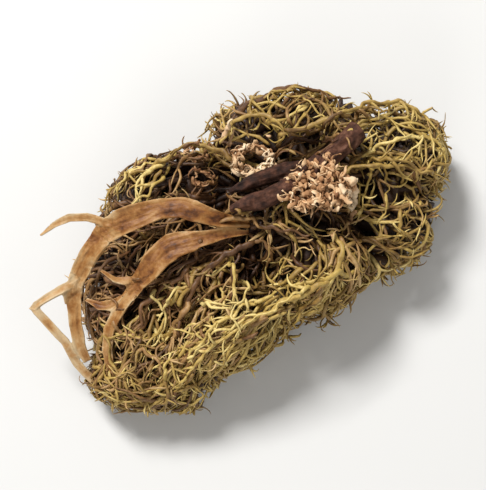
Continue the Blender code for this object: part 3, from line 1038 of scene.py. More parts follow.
# node: (start thickness in mm, tone, seed: 0.13 turns out brown and 0.7 green)
stemSettings = {
    "stem_centre": (0.80, 0.26, 0.13), "stem_centre_side": (0.52, 0.26, 0.13),
    "stem_right": (0.55, 0.26, 0.13), "stem_northwest": (0.72, 0.28, 0.7),
    "stem_northwest_side": (0.55, 0.36, 0.7), "stem_north_loop": (0.66, 0.36, 0.7),
    "stem_north_rail": (0.66, 0.40, 0.7), "stem_north_arch": (0.85, 0.32, 0.13),
    "stem_east": (0.64, 0.36, 0.7), "stem_south_ridge": (0.66, 0.5, 0.7),
    "stem_southwest": (0.75, 0.34, 0.13),
}


stemSide = {**runnerSide, "length": (2.5, 6.5), "forkShare": 0.8, "furthest": -2.6}
stemTip = {**tipStrand, "furthest": -2.6}
stemLook = {"step": 0.3 * mm, "easing": 3, "browning": 0.45}
# extra runners that follow the south ridge, lengths in mm
ridgeSettings = {"count": 40, "aside": (-1.6, 2.0), "sink": 0.3, "spread": 0.25}


def stemPath(node, look):
    middle = spines[node]["middle"]
    walk = walkAlong(middle)
    at = np.linspace(0, walk[-1], max(4, round(walk[-1] / look["step"])))
    return easedLine(readAlong(middle, walk, at), look["easing"])


def ridgeLevels(settings):
    spine = spines["stem_south_ridge"]
    chosen = rng.integers(0, len(spine["middle"]) - 2, settings["count"])
    aside = spine["across"][chosen] * rng.uniform(*settings["aside"], (len(chosen), 1)) * mm
    start = spine["middle"][chosen] + aside - (0, 0, settings["sink"] * mm)
    heading = unit(spine["along"][chosen] + rng.normal(0, settings["spread"], (len(chosen), 3)))
    return growPlant(start, heading, [ridgeRunner, runnerSide, tipStrand])


def makeStems(settings, look):
    names = list(settings)
    thick, tones, seeds = zip(*settings.values())
    first = levelFromPaths([stemPath(node, look) for node in names], stemStrand, thick, tones)
    first["seed"] = np.array(seeds)
    levels = [first] + branchOut(first, [stemSide, stemTip]) + ridgeLevels(ridgeSettings)
    piece = meshFromArrays("stems", tubeArrays(levels))
    finishPiece(piece, strandMaterial("stemFinish", look["browning"]), names)


makeStems(stemSettings, stemLook)


# single strands that stand out on top: (thickness in mm, tone, lift in mm, the way it runs)

laidSettings = {
    "northwest": [
        (0.74, 0.70, 0.9, [(-8.6, 11.8), (-12.3, 11.4), (-15.0, 11.3)]),
        (0.70, 0.80, 0.9, [(-9.6, 11.2), (-13.2, 10.1), (-16.2, 8.8)]),
        (0.72, 0.85, 1.0, [(-10.2, 10.4), (-12.6, 8.4), (-13.8, 7.0), (-13.2, 5.4)]),
        (0.66, 0.70, 0.9, [(-9.3, 10.2), (-10.6, 7.9), (-12.0, 6.2), (-14.8, 4.2)]),
        (0.60, 0.80, 0.9, [(-11.6, 10.8), (-14.4, 9.0), (-16.8, 6.6)]),
        (0.58, 0.40, 0.4, [(-17.0, 7.2), (-17.8, 4.6), (-17.3, 2.4)]),
        (0.60, 0.95, 1.1, [(-13.1, 7.4), (-12.8, 6.0), (-13.2, 4.8)]),
    ],
    "north": [
        (0.62, 0.55, 0.5, [(1.0, 15.4), (2.4, 18.2), (6.2, 20.0), (10.2, 18.9), (13.6, 17.0)]),
        (0.55, 0.50, 0.6, [(1.2, 18.3), (0.8, 16.6), (1.7, 15.2), (3.4, 13.8)]),
        (0.58, 0.62, 0.7, [(3.0, 16.2), (5.2, 17.8), (7.6, 17.9), (9.4, 16.4), (10.3, 14.6)]),
        (0.62, 0.85, 0.9, [(8.0, 17.2), (6.6, 16.0), (5.2, 14.9)]),
        (0.60, 0.55, 0.7, [(2.6, 14.8), (4.6, 14.2), (5.2, 12.8), (4.2, 11.9), (3.2, 12.8)]),
        (0.70, 0.42, 0.6, [(4.8, 13.4), (8.8, 13.4), (12.4, 15.1), (16.2, 17.0), (20.2, 16.8), (23.2, 14.2)]),
    ],
    "northeast": [
        (0.60, 0.55, 0.6, [(12.4, 12.6), (15.4, 15.2), (19.2, 15.8), (23.6, 12.8)]),
        (0.62, 0.85, 0.8, [(13.6, 10.2), (16.6, 11.6), (19.8, 12.8), (22.6, 13.0), (21.2, 11.2),
                           (19.4, 10.0)]),
        (0.60, 0.60, 0.5, [(13.2, 9.6), (16.4, 10.0), (20.0, 9.5), (23.4, 8.6), (25.8, 8.6)]),
        (0.52, 0.50, 0.6, [(16.2, 9.5), (15.5, 6.6), (14.8, 3.6)]),
        (0.52, 0.55, 0.6, [(17.6, 9.3), (18.3, 6.4), (17.8, 3.2)]),
        (0.52, 0.45, 0.6, [(19.2, 9.2), (21.6, 6.4), (23.6, 4.6)]),
        (0.55, 0.70, 0.8, [(20.4, 13.8), (22.6, 11.4), (22.0, 9.6)]),
    ],
    "south": [
        (0.74, 0.72, 0.6, [(14.0, -3.6), (10.4, -4.8), (6.0, -5.4), (2.0, -7.2), (-2.6, -9.8), (-6.0, -12.8),
                           (-7.8, -15.6)]),
        (0.66, 0.66, 0.6, [(13.2, -5.0), (10.6, -7.6), (5.8, -9.6), (1.2, -12.6), (-3.8, -15.4),
                           (-7.6, -17.4)]),
        (0.60, 0.60, 0.6, [(7.4, -10.2), (2.0, -13.6), (-3.4, -17.2), (-8.4, -19.4)]),
        (0.60, 0.75, 0.8, [(9.6, -5.2), (6.0, -7.2), (1.8, -9.6), (-1.6, -12.4)]),
        (0.55, 0.80, 0.8, [(3.4, -6.8), (0.2, -9.8), (-3.8, -11.8), (-6.6, -14.8)]),
        (0.56, 0.62, 0.7, [(-0.6, -8.6), (-4.6, -12.0), (-8.6, -13.6), (-12.0, -16.6)]),
    ],
    "southwest": [
        (0.58, 0.72, 0.9, [(-9.5, -17.8), (-9.9, -15.4), (-8.6, -13.9), (-7.5, -15.0), (-7.8, -17.2)]),
        (0.58, 0.66, 0.7, [(-7.6, -19.6), (-6.7, -17.4), (-5.2, -18.8), (-6.8, -20.0), (-9.6, -19.4)]),
        (0.70, 0.40, 0.6, [(-17.6, -9.6), (-17.0, -12.8), (-15.8, -15.8), (-11.6, -18.4)]),
        (0.62, 0.55, 0.6, [(-19.2, -13.8), (-16.6, -17.6), (-12.4, -19.8)]),
        (0.60, 0.45, 0.7, [(-13.6, -8.8), (-12.2, -12.2), (-13.6, -15.6), (-16.4, -17.2)]),
    ],
    "nest": [
        (0.70, 1.00, 1.6, [(-11.6, -5.0), (-11.2, -7.2), (-10.1, -8.6)]),
        (0.95, 0.98, 1.6, [(-8.2, -5.2), (-9.0, -6.8), (-10.1, -8.6), (-9.8, -10.6), (-11.0, -11.6)]),
        (0.66, 0.98, 1.6, [(-11.4, -9.6), (-10.8, -11.4), (-9.4, -10.8), (-9.6, -9.2)]),
        (0.74, 0.70, 1.7, [(-1.4, -1.0), (-1.2, -4.2), (-1.1, -8.0)]),
        (0.70, 0.84, 1.9, [(-1.2, -4.0), (1.0, -5.6), (-0.2, -8.0), (-1.6, -8.8), (-0.8, -9.6), (0.2, -8.6)]),
        (0.70, 1.08, 2.0, [(-5.6, -6.4), (-5.2, -8.0), (-3.2, -8.4), (-1.4, -8.4)]),
        (0.56, 0.72, 1.3, [(-3.0, -3.8), (-2.6, -6.2), (-1.2, -8.2)]),
        (0.80, 0.58, 1.1, [(-3.6, -1.4), (-7.0, -5.2), (-8.0, -9.4), (-9.8, -13.4)]),
        (0.74, 0.58, 1.1, [(-2.2, -2.0), (-4.4, -6.8), (-5.4, -11.0)]),
        (0.70, 0.56, 1.1, [(-5.0, -2.6), (-8.6, -7.0), (-11.0, -11.0), (-12.6, -15.0)]),
        (0.66, 0.60, 1.1, [(-0.2, -2.6), (-2.8, -7.4), (-6.4, -12.4)]),
    ],
    "brown": [
        (1.00, 0.44, 0.7, [(-5.4, -0.2), (-7.4, -3.2), (-9.0, -6.4), (-11.8, -9.4)]),
        (0.90, 0.42, 0.7, [(-10.2, -4.4), (-12.4, -7.4), (-13.2, -11.2)]),
        (0.84, 0.46, 0.8, [(-6.6, -7.4), (-8.4, -10.8), (-9.4, -13.8)]),
        (0.80, 0.48, 0.8, [(-3.8, -8.8), (-5.4, -12.0), (-8.0, -14.4)]),
        (0.80, 0.44, 0.8, [(-12.0, -8.6), (-14.2, -11.6), (-15.0, -14.8)]),
        (0.72, 0.56, 0.9, [(-7.2, -1.8), (-6.4, -4.4), (-7.2, -7.0)]),
        (0.80, 0.50, 0.7, [(-16.6, -9.4), (-15.0, -12.0), (-12.4, -13.6), (-9.6, -15.6)]),
        (0.72, 0.40, 0.7, [(-8.0, 4.8), (-5.6, 6.6), (-3.8, 8.6), (-4.8, 9.8), (-6.2, 8.8)]),
        (0.80, 0.36, 0.6, [(-7.6, 6.4), (-4.6, 6.0), (-1.8, 7.4)]),
        (0.76, 0.50, 0.8, [(-7.4, 12.0), (-5.8, 12.8), (-4.8, 11.8), (-5.8, 10.8), (-7.2, 11.2)]),
    ],
    "west": [
        (0.42, 0.95, 0.3, [(-21.2, -4.7), (-22.4, -3.9), (-23.4, -2.8)]),
        (0.40, 0.80, 0.3, [(-19.4, -0.6), (-20.4, -1.0), (-21.2, -1.9)]),
        (0.46, 0.70, 0.6, [(-16.2, -0.6), (-15.6, -2.4), (-14.6, -4.4)]),
        (0.90, 0.42, 0.5, [(-15.6, -3.2), (-17.0, -4.6), (-15.0, -5.4), (-12.8, -4.6)]),
        (0.70, 0.36, 0.4, [(-19.4, -7.6), (-17.4, -8.8), (-15.0, -8.4), (-13.4, -6.8)]),
        (0.62, 0.45, 0.5, [(-18.6, -5.4), (-16.6, -6.8), (-14.8, -7.0)]),
        (0.80, 0.55, 0.6, [(-15.6, -12.6), (-14.0, -11.2), (-11.8, -10.8)]),
    ],
    "twig": [
        (0.95, 0.22, 0.5, [(4.4, 12.2), (6.4, 12.9), (9.4, 12.8), (11.6, 11.6)]),
        (0.60, 0.50, 0.7, [(5.0, 9.6), (7.0, 9.4), (9.4, 9.8), (10.8, 11.2)]),
        (0.62, 0.46, 0.7, [(10.4, 13.8), (11.8, 12.6), (13.8, 10.6), (15.6, 10.4)]),
        (0.56, 0.35, 0.6, [(3.0, 10.6), (5.2, 11.4), (7.4, 10.8), (9.4, 12.0)]),
    ],
    "heart": [
        (0.95, 0.40, 0.3, [(-2.8, 3.6), (0.2, 3.0), (2.6, 2.4), (4.8, 1.0)]),
        (0.75, 0.48, 0.4, [(-2.6, 2.2), (0.8, 2.2), (3.2, 0.8), (4.0, -1.2)]),
        (0.50, 0.80, 0.8, [(3.6, -2.8), (4.4, -1.6), (5.6, -2.2), (7.0, -1.4), (9.0, -1.2)]),
        (0.50, 0.75, 0.8, [(13.4, 5.0), (13.6, 3.2), (12.4, 1.6), (10.6, 0.6), (8.6, 0.8)]),
        (0.50, 0.55, 0.8, [(4.2, 2.6), (5.4, 0.6), (7.6, 0.0), (9.2, -2.2)]),
        (0.52, 0.45, 0.6, [(0.6, 0.8), (3.2, -0.6), (4.6, -3.6), (3.6, -6.2)]),
    ],
}
laidBrowning = {"northwest": 0.3, "north": 0.2, "northeast": 0.1, "south": 0.05, "southwest": 0.2,
                "nest": 0.4, "west": 1.0, "brown": 1.1, "twig": 1.0, "heart": 0.8}
laidStrand = {**runner, "waver": 0.20, "forkEvery": (4, 8), "forkAngle": (28, 58), "forkShare": 0.8,
              "sides": 8, "tip": 0.3, "toneGain": 0.2, "flat": 0.7, "roll": 0.3, "lumpy": 0.18}


laidSide = {**runnerSide, "length": (1.6, 4.2), "thick": (0.32, 0.46), "furthest": -2.6}
laidLook = {
    "startLift": -0.4,
    "endLift": 0.6,  # share of the lift that the far end keeps
    "thickShare": 0.84,
    "toneDrop": 0.08,
    "brightFrom": 0.6,  # strands of this tone and up are green
    "greenSeeds": (0.69, 0.71),
    "step": 0.3 * mm,
}


def makeLaid(place, settings, look):
    paths = []
    for thick, tone, lift, line in settings:
        lifts = [look["startLift"]] + [lift] * (len(line) - 2) + [lift * look["endLift"]]
        paths.append(laidPath([(*spot, rise) for spot, rise in zip(line, lifts)], look["step"]))
    thick = [row[0] * look["thickShare"] for row in settings]
    tones = [row[1] - look["toneDrop"] for row in settings]
    first = levelFromPaths(paths, laidStrand, thick, tones)
    bright = np.array([row[1] for row in settings]) > look["brightFrom"]
    first["seed"] = np.where(bright, rng.uniform(*look["greenSeeds"], len(bright)), first["seed"])
    piece = meshFromArrays("strands_" + place, tubeArrays([first] + branchOut(first, [laidSide, stemTip])))
    finishPiece(piece, strandMaterial("strandFinish_" + place, laidBrowning[place]))


for place, settings in laidSettings.items():
    makeLaid(place, settings, laidLook)


# lobes and twig: the CAD pieces joined up and made fine, then flattened and creased along their spines

spineStretch = 1.2  # how far a spine is carried past each end, in mm
spineStep = 0.15 * mm
# how quickly each unevenness comes and goes along a lobe, in waves a mm
waves = {"width": 0.5, "knots": 1.1, "grain": 1.3, "cup": 0.16, "twist": 0.13, "sway": 0.22}
orderSpread = 7.31  # sets the lobes' unevenness apart from each other's


def fusedCopy(nodes, name, swell, voxel, easing):
    copies = [mergedCopy(node, f"{name}_{k}") for k, node in enumerate(nodes)]
    pick(copies)
    if len(copies) > 1:
        bpy.ops.object.join()
    piece = bpy.context.object
    piece.name = name
    piece.data.name = name
    piece.data.materials.clear()
    writePoints(piece.data, readMesh(piece.data, "co") + readMesh(piece.data, "normal") * swell)
    fuse = piece.modifiers.new("fuse", "REMESH")
    fuse.mode = "VOXEL"
    fuse.voxel_size = voxel
    bpy.ops.object.modifier_apply(modifier=fuse.name)
    ease = piece.modifiers.new("ease", "SMOOTH")
    ease.factor = 0.5
    ease.iterations = easing
    bpy.ops.object.modifier_apply(modifier=ease.name)
    return piece


def fineSpine(node, order):
    # a spine sampled finely and carried a little past both ends
    spine = spines[node]
    middle = np.concatenate([
        [spine["middle"][0] - spine["along"][0] * spineStretch * mm], spine["middle"],
        [spine["middle"][-1] + spine["along"][-1] * spineStretch * mm]])
    width = np.concatenate([spine["width"][:1], spine["width"], spine["width"][-1:]])
    walk = walkAlong(middle)
    at = np.arange(0, walk[-1], spineStep)
    middle = easedLine(readAlong(middle, walk, at), 8)
    along = unit(np.gradient(middle, axis=0))
    across = unit(np.cross(along, (0, 0, 1)))
    return {"middle": middle, "along": along, "across": across, "up": np.cross(across, along),
            "width": np.interp(at, walk, width), "walk": at, "order": np.full(len(at), float(order))}


def joinedSpines(nodes):
    parts = [fineSpine(node, order) for order, node in enumerate(nodes)]
    return {key: np.concatenate([part[key] for part in parts]) for key in parts[0]}


def ripple(*axes):
    # smooth noise, from about -1 to 1, read at many places at once
    return np.array([noise.noise(spot) for spot in np.stack(np.broadcast_arrays(*axes), -1)])


def nearestRows(guide, points):
    # for each spine, its sample nearest to each point, and how far that is
    rows, apart = [], []
    for order in np.unique(guide["order"]):
        own = np.nonzero(guide["order"] == order)[0]
        tree = treeOf(guide["middle"][own])
        found = [tree.find(spot) for spot in points]
        rows.append(own[[hit[1] for hit in found]])
        apart.append([hit[2] for hit in found])
    return np.array(rows), np.array(apart)


def placeAlong(points, local, longest, nodes, look):
    # points flattened, rippled, cupped and twisted about the spine samples given for them
    which = local["order"].astype(int)
    offset = points - local["middle"]
    ahead = (offset * local["along"]).sum(1)
    u = (offset * local["across"]).sum(1)
    v = (offset * local["up"]).sum(1)
    half = np.maximum(local["width"], 0.25 * mm)
    walk = (local["walk"] + ahead) / mm
    order = local["order"] * orderSpread + look["start"]
    edge = np.clip(np.abs(u) / half, 0, 1.3)
    widths, pale = (np.array([look[key].get(node, usual) for node in nodes])[which]
                    for key, usual in (("widths", 1.0), ("pale", 0.0)))
    rooted, tapering = (np.array([node in look[key] for node in nodes])[which]
                        for key in ("roots", "tapered"))
    begun = np.clip(walk / look["rootLength"], 0, 1)
    widths = widths * np.where(rooted, look["rootShare"] + (1 - look["rootShare"]) * begun, 1)
    left = longest[which] / mm - walk + 0.8 * ripple(u / mm, v / mm, order)
    widths = widths * np.where(tapering, np.clip(left / look["taperLength"], 0.2, 1) ** 0.6, 1)
    u = u * widths * (look["narrow"] + look["ragged"] * ripple(walk * waves["width"], np.sign(u) * 3, order))
    streak = ripple(walk * look["streak"][0], u / mm * look["streak"][1], order + 3)
    knots = ripple(walk * waves["knots"], u / mm * waves["grain"], v / mm * waves["grain"] + order)
    v = v * look["flat"] * np.sqrt(widths) * (1 + 0.25 * ripple(walk * waves["width"], order + 9, 0))
    v = v + np.sign(v) * (look["crease"] * streak + look["knots"] * knots) * mm
    cup = look["cup"] * (0.7 + 0.8 * ripple(walk * waves["cup"], order, 5))
    v = v + (edge**2 - 0.4) * cup * half
    angle = look["twist"] * ripple(walk * waves["twist"], order, 11)
    spun = u * np.cos(angle) - v * np.sin(angle), u * np.sin(angle) + v * np.cos(angle)
    sway = look["sway"] * mm * np.stack([ripple(walk * waves["sway"], order, k * 9.0) for k in range(3)], 1)
    moved = (local["middle"] + local["along"] * ahead[:, None] + local["across"] * spun[0][:, None]
             + local["up"] * spun[1][:, None] + sway)
    moved[:, 2] -= np.where(rooted, (1 - begun) ** 2, 0) * look["rootSink"] * mm
    moved[:, 2] = np.maximum(moved[:, 2], 0.2 * mm)
    return {"moved": moved, "pale": pale, "edge": edge, "walk": walk + local["order"] * 40, "across": u / mm}


def shapeAlong(piece, nodes, look):
    guide = joinedSpines(nodes)
    longest = np.array([guide["walk"][guide["order"] == k].max() for k in range(len(nodes))])
    points = readMesh(piece.data, "co")
    rows, apart = nearestRows(guide, points)
    ranked = np.argsort(apart, axis=0)[:2]
    chosen = np.take_along_axis(rows, ranked, 0)
    near = np.take_along_axis(apart, ranked, 0)
    samples = [{key: value[row] for key, value in guide.items()} for row in chosen]
    first, second = (placeAlong(points, local, longest, nodes, look) for local in samples)
    share = np.exp((near[0] - near[1]) / (look["blend"] * mm))
    share = share / (1 + share)
    for key in ("moved", "pale", "edge"):
        weight = share[:, None] if key == "moved" else share
        first[key] = first[key] * (1 - weight) + second[key] * weight
    writePoints(piece.data, first["moved"])
    for key in ("pale", "walk", "across", "edge"):
        writeAttribute(piece.data, key, first[key])
    piece.data.shade_smooth()


leather = {"grainScale": 2600.0, "grainShare": 0.22, "grainBump": 0.45, "edgeHighlightPower": 3.0}


def leatherMaterial(name, look):
    # long colour streaks that also shape the bump, darker where the surface dips (painted shade in the
    # hollows), a painted highlight on the raised edges and a fine wrinkled grain
    paint, tree, shader = newMaterial(name)
    combine = addNode(tree, "ShaderNodeCombineXYZ")
    for name, axis, rate in zip(("walk", "across"), "XY", look["streakRate"]):
        tree.links.new(mathNode(tree, "MULTIPLY", attributeNode(tree, name), rate), combine.inputs[axis])
    streak = addNode(tree, "ShaderNodeTexNoise", Scale=1.0, Detail=4.0, Roughness=0.6)
    tree.links.new(combine.outputs["Vector"], streak.inputs["Vector"])
    patches = noiseNode(tree, look["patchScale"])
    fine = noiseNode(tree, leather["grainScale"], 3.0)
    mottle = mathNode(tree, "MULTIPLY_ADD", patches, look["mottle"], attributeNode(tree, "pale"))
    # streak colour, partly real and partly painted shade: the same streaks make the surface dip in the bump
    # below, so the dips are darker
    value = mathNode(tree, "MULTIPLY_ADD", streak.outputs["Fac"], 1 - look["mottle"], mottle)
    value = stirNode(tree, fine, leather["grainShare"], value)
    # painted highlight: lighter towards the lobe's raised edges
    edge = mathNode(tree, "POWER", attributeNode(tree, "edge"), leather["edgeHighlightPower"])
    value = mathNode(tree, "MULTIPLY_ADD", edge, look["paintedEdgeHighlight"], value)
    coat(tree, shader, rampNode(tree, value, look["tones"]), look["roughness"], look["gloss"])
    grain = mathNode(tree, "MULTIPLY", fine, leather["grainBump"])
    height = mathNode(tree, "MULTIPLY_ADD", streak.outputs["Fac"], 1.0, grain)
    bumpInto(tree, shader, height, look["bump"] * mm)
    return paint


def makeFused(nodes, look):
    piece = fusedCopy(nodes, look["name"], look["swell"] * mm, look["voxel"] * mm, look["easing"])
    shapeAlong(piece, nodes, look)
    finishPiece(piece, leatherMaterial(look["name"] + "Finish", look), nodes)


lobeLook = {
    "name": "lobes", "slot": "lobe", "start": 2.0, "swell": 0.2, "voxel": 0.13, "easing": 4,
    "narrow": 1.16, "ragged": 0.16, "flat": 0.72, "cup": 0.42, "crease": 0.16, "streak": (0.22, 2.6),
    "knots": 0.05, "twist": 0.75, "sway": 0.3, "blend": 0.5, "streakRate": (0.5, 2.6), "patchScale": 520.0,
    # the first value on the next line is the painted highlight along the lobes' raised edges
    "paintedEdgeHighlight": 0.16, "mottle": 0.74,
    "widths": {"lobe_outer": 1.12, "lobe_outer_tail": 0.85, "lobe_elbow": 0.62, "lobe_elbow_tail": 0.64,
               "lobe_horn": 0.74, "lobe_inner_left": 0.8, "lobe_inner_low": 0.8, "lobe_inner_long": 0.85},
    "roots": ("lobe_outer", "lobe_inner"), "rootLength": 8.0, "rootShare": 0.12, "rootSink": 1.6,
    "tapered": ("lobe_horn", "lobe_elbow", "lobe_elbow_tail", "lobe_inner_left", "lobe_inner_low"),
    "taperLength": 4.0,
    "pale": {"lobe_elbow": 0.36, "lobe_elbow_tail": 0.32, "lobe_horn": 0.25, "lobe_outer_tail": 0.15,
             "lobe_outer": 0.04, "lobe_inner": 0.02, "lobe_inner_long": 0.13, "lobe_inner_left": 0.13,
             "lobe_inner_low": 0.10},
    "tones": [(0.32, (0.022, 0.006, 0.002)), (0.43, (0.080, 0.025, 0.005)), (0.52, (0.170, 0.060, 0.012)),
              (0.62, (0.26, 0.110, 0.026)), (0.78, (0.39, 0.215, 0.080)), (0.96, (0.50, 0.36, 0.20))],
    "roughness": 0.5, "gloss": 0.3, "bump": 0.16,
}
twigLook = {
    "name": "twig", "slot": "bark", "start": 9.0, "swell": 0.2, "voxel": 0.12, "easing": 2,
    "narrow": 0.95, "ragged": 0.12, "flat": 0.95, "cup": 0.0, "crease": 0.16, "streak": (0.5, 1.6),
    "knots": 0.26, "twist": 0.2, "sway": 0.2, "blend": 0.3, "streakRate": (0.9, 3.0), "patchScale": 900.0,
    "paintedEdgeHighlight": 0.0,
    "widths": {"twig_stem": 0.85}, "roots": (), "rootLength": 1.0, "rootShare": 1.0,
    "tapered": ("twig_arm_lower", "twig_arm_upper"), "taperLength": 3.6,
    "rootSink": 0.0, "mottle": 0.7, "pale": {"twig_arm_upper": -0.05, "twig_stem": 0.04},
    "tones": [(0.30, (0.008, 0.003, 0.002)), (0.45, (0.034, 0.012, 0.006)), (0.58, (0.085, 0.033, 0.018)),
              (0.72, (0.17, 0.080, 0.048)), (0.88, (0.31, 0.19, 0.13))],
    "roughness": 0.8, "gloss": 0.25, "bump": 0.16,
}
makeFused(lobeNodes, lobeLook)
makeFused(twigNodes, twigLook)


# holdfast: crumbly curls, little cupped flakes, and rings of curled tissue

crumbStrand = {**plainStrand, "length": (0.9, 2.4), "thick": (0.42, 0.80), "step": 0.18 * mm, "curl": 1.15,
               "waver": 0.45, "hook": 0.6, "pull": 0.0, "depth": (-20, -19), "hold": 0.0, "fence": 0.0,
               "furthest": -90.0, "forkEvery": (3, 6), "forkAngle": (50, 90), "forkShare": 0.35, "kink": 25,
               "sides": 8, "tip": 0.5, "toneGain": 0.6, "tone": 0.0, "flat": 0.36, "roll": 2.0, "lumpy": 0.40,
               "givesWay": False}
crumbFork = {**crumbStrand, "length": (0.4, 1.3), "thick": (0.28, 0.5), "forkShare": 0.0, "toneGain": 0.3}
paleFinish = {
    "tones": [(0.0, (0.15, 0.060, 0.020)), (0.32, (0.38, 0.195, 0.085)), (0.62, (0.62, 0.40, 0.215)),
              (1.0, (0.88, 0.69, 0.46))],
    "patchScale": 700.0, "grainScale": 2400.0, "seedShare": 0.5, "toneShare": 0.4, "patchy": 0.9,
    "grainy": 0.4,
    # painted shade: crumbs darken towards this tone the deeper they lie (in mm, between the next two values),
    # up to the share after them
    "paintedShadeTone": (0.05, 0.018, 0.008), "paintedShadeFrom": -0.4, "paintedShadeTo": 1.6, "paintedShadeShare": 0.7,
    "roughness": 0.7, "gloss": 0.3, "bump": 0.12,
}


def paleMaterial(name):
    look = paleFinish
    paint, tree, shader = newMaterial(name)
    patches = noiseNode(tree, look["patchScale"])
    fine = noiseNode(tree, look["grainScale"], 3.0)
    tone = mathNode(tree, "MULTIPLY", attributeNode(tree, "tone"), look["toneShare"])
    value = mathNode(tree, "MULTIPLY_ADD", attributeNode(tree, "seed"), look["seedShare"], tone)
    value = stirNode(tree, patches, look["patchy"], value)
    value = stirNode(tree, fine, look["grainy"], value)
    # painted shade: deeper crumbs are mixed towards a dark tone
    deep = rangeNode(tree, attributeNode(tree, "depth"), look["paintedShadeFrom"], look["paintedShadeTo"], look["paintedShadeShare"])
    colour = mixNode(tree, deep, rampNode(tree, value, look["tones"]), look["paintedShadeTone"])
    coat(tree, shader, colour, look["roughness"], look["gloss"])
    bumpInto(tree, shader, mathNode(tree, "MULTIPLY_ADD", fine, 0.6, patches), look["bump"] * mm)
    return paint


def insideLump(node, count, fullness):
    # random spots in a CAD lump, and the way out of it at each
    low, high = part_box(node)
    centre, half = np.array(low + high) / 2, np.array(high - low) / 2
    way = unit(rng.normal(size=(count, 3)))
    reach = rng.uniform(*fullness, (count, 1))
    return centre + way * half * reach, way


def onTop(centre, half, count):
    # random spots on top of the tuft round one place
    angle, reach = rng.uniform(0, 2 * math.pi, count), np.sqrt(rng.uniform(0, 1, count))
    x = (centre[0] + half[0] * reach * np.cos(angle)) * mm
    y = (centre[1] + half[1] * reach * np.sin(angle)) * mm
    z = topHeights(np.stack([x, y], 1)) + rng.uniform(-0.4, 0.3, count) * mm
    return np.stack([x, y, z], 1), np.tile((0.0, 0.0, 1.0), (count, 1))


def finishPale(levels, name, node):
    finishPiece(meshFromArrays(name, tubeArrays(levels)), paleMaterial(name + "Finish"), [node])


def crumbsFrom(start, way, recipes):
    heading = unit(np.cross(way, rng.normal(size=way.shape)) + way * 0.1)
    return growPlant(start, heading, recipes)


flakeStrand = {**crumbStrand, "length": (1.1, 2.2), "thick": (0.5, 0.85), "curl": 1.1, "forkShare": 0.5,
               "tone": 0.45, "flat": 0.26, "lumpy": 0.3, "sides": 10}
topStrand = {**crumbStrand, "tone": 0.15}
dotStrand = {**flakeStrand, "length": (0.5, 0.8), "tone": 0.9, "flat": 0.6, "forkShare": 0.0}
curlStrand = {**crumbStrand, "waver": 0.26, "forkEvery": (4, 8), "forkShare": 0.5, "flat": 0.5, "roll": 1.2}
edgeStrand = {**curlStrand, "waver": 0.14, "flat": 0.55, "roll": 0.4, "lumpy": 0.25}
crumbField = {"centre": (8.6, 6.3), "half": (3.9, 3.1), "inside": 110, "fullness": (0.4, 0.85), "top": 140,
              "flakes": 30, "dotLift": 0.4 * mm, "dotShade": -1.0 * mm}
# small pale dots: (x, y, size), all in mm
dotSettings = [(-4.7, 8.2, 0.9), (3.5, 13.0, 0.75), (13.1, 1.7, 0.75), (10.9, 0.6, 0.85), (8.6, 0.8, 0.7),
               (5.9, 10.2, 0.7)]
# how the arcs of a ring are broken: degrees, share of its size, mm
arcSettings = {"samples": 8, "span": (35, 100), "reach": (0.84, 1.12), "ragged": 0.05, "height": (-1.3, 0.3),
               "uneven": 0.12, "levelShare": 0.6}
curlStep = 0.2 * mm
# rings of curled tissue: (middle, half sizes, arcs, thickness, tone, lift), lengths in mm
ringSettings = [((1.35, 10.0), (2.3, 1.75), 60, (0.34, 0.60), (0.0, 1.3), 2.0),
                ((-5.4, 12.3), (1.3, 1.05), 14, (0.34, 0.55), (-0.6, 0.2), 1.0),
                ((-5.0, 8.6), (1.3, 0.95), 12, (0.32, 0.5), (-0.6, 0.1), 1.2)]
# curled edges inside the ring and on the two pale flakes: (thickness, tone, [(x, y, lift)])
cupSettings = [(0.6, 0.9, [(2.9, 8.8, 1.2), (3.3, 9.6, 1.8), (2.5, 10.2, 1.8), (1.8, 9.5, 1.4),
                           (2.3, 8.7, 1.0)])]
flakeEdges = [(0.95, 1.5, [(12.0, 6.4, 1.0), (12.8, 6.8, 1.6), (13.7, 6.1, 1.8), (14.1, 5.0, 1.6),
                           (13.8, 4.1, 1.2)]),
              (0.85, 1.4, [(11.9, 6.1, 1.0), (12.4, 5.3, 1.6), (13.1, 4.7, 1.7), (13.7, 4.2, 1.4)]),
              (0.45, 0.8, [(13.9, 4.3, 1.2), (13.8, 3.2, 1.0), (13.2, 2.2, 0.5)])]
scaleEdges = [(0.95, 1.6, [(-2.4, 12.7, 0.9), (-2.2, 13.4, 1.4), (-1.8, 14.1, 1.5), (-1.2, 14.5, 1.1)]),
              (0.5, 0.4, [(-1.9, 12.1, 0.4), (-1.3, 13.0, 0.9), (-0.8, 14.0, 0.8)])]


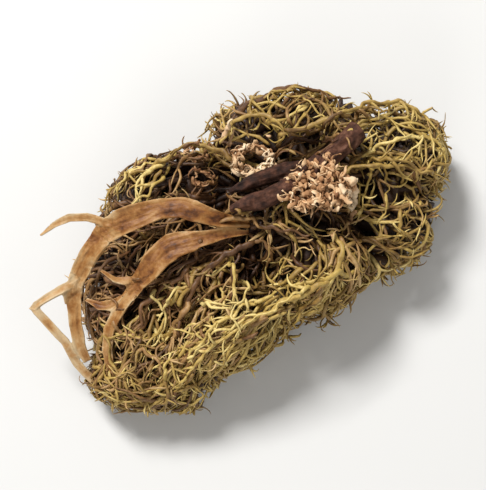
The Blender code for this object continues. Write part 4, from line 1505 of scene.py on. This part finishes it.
def makeHoldfast(settings):
    inner = insideLump("holdfast", settings["inside"], settings["fullness"])
    levels = crumbsFrom(*inner, [crumbStrand, crumbFork])
    for strand, count in ((topStrand, settings["top"]), (flakeStrand, settings["flakes"])):
        levels += crumbsFrom(*onTop(settings["centre"], settings["half"], count), [strand, crumbFork])
    marks = np.array(dotSettings) * mm
    dots = marks[:, :2]
    place = np.concatenate([dots, topHeights(dots)[:, None] + settings["dotLift"]], 1)
    made = growPlant(place, rng.normal(size=place.shape) * (1, 1, 0.2), [dotStrand])
    made[0]["radius"] = marks[:, 2] / 2
    # the dots get a depth above the skin, so they take none of the painted shade
    made[0]["grown"]["depths"][:] = settings["dotShade"]
    finishPale(levels + made, "holdfastCrumbs", "holdfast")


def roundSpots(middle, half, angles, reach):
    return np.array(middle) + np.array(half) * np.stack([np.cos(angles), np.sin(angles)], 1) * reach


def ringPaths(middle, half, arcs, lift, look):
    # broken arcs round one level ring
    edge = roundSpots(middle, half, np.linspace(0, 2 * math.pi, 24), 1)
    level = np.quantile(topHeights(edge * mm), look["levelShare"]) + lift * mm
    paths = []
    for _ in range(arcs):
        span = math.radians(rng.uniform(*look["span"]))
        angles = rng.uniform(0, 2 * math.pi) + np.linspace(0, span, look["samples"])
        reach = rng.uniform(*look["reach"]) + rng.normal(0, look["ragged"], len(angles))
        spots = roundSpots(middle, half, angles, reach[:, None])
        height = level + rng.uniform(*look["height"]) * mm + rng.normal(0, look["uneven"], len(angles)) * mm
        paths.append(evenSteps(np.concatenate([spots * mm, height[:, None]], 1), curlStep, 5))
    return paths


def edgeLevels(settings):
    thick, tones, lines = zip(*settings)
    return [levelFromPaths([laidPath(line, curlStep) for line in lines], edgeStrand, thick, tones)]


def makeRings(settings):
    levels = []
    for middle, half, arcs, thick, tone, lift in settings:
        paths = ringPaths(middle, half, arcs, lift, arcSettings)
        first = levelFromPaths(paths, curlStrand, rng.uniform(*thick, arcs), rng.uniform(*tone, arcs))
        levels += [first] + branchOut(first, [{**crumbFork, "tone": tone[0]}])
    finishPale(levels + edgeLevels(cupSettings), "holdfastCurl", "holdfast_curl")


makeHoldfast(crumbField)
makeRings(ringSettings)
finishPale(edgeLevels(flakeEdges), "paleFlake", "pale_flake")
finishPale(edgeLevels(scaleEdges), "paleScale", "pale_scale")
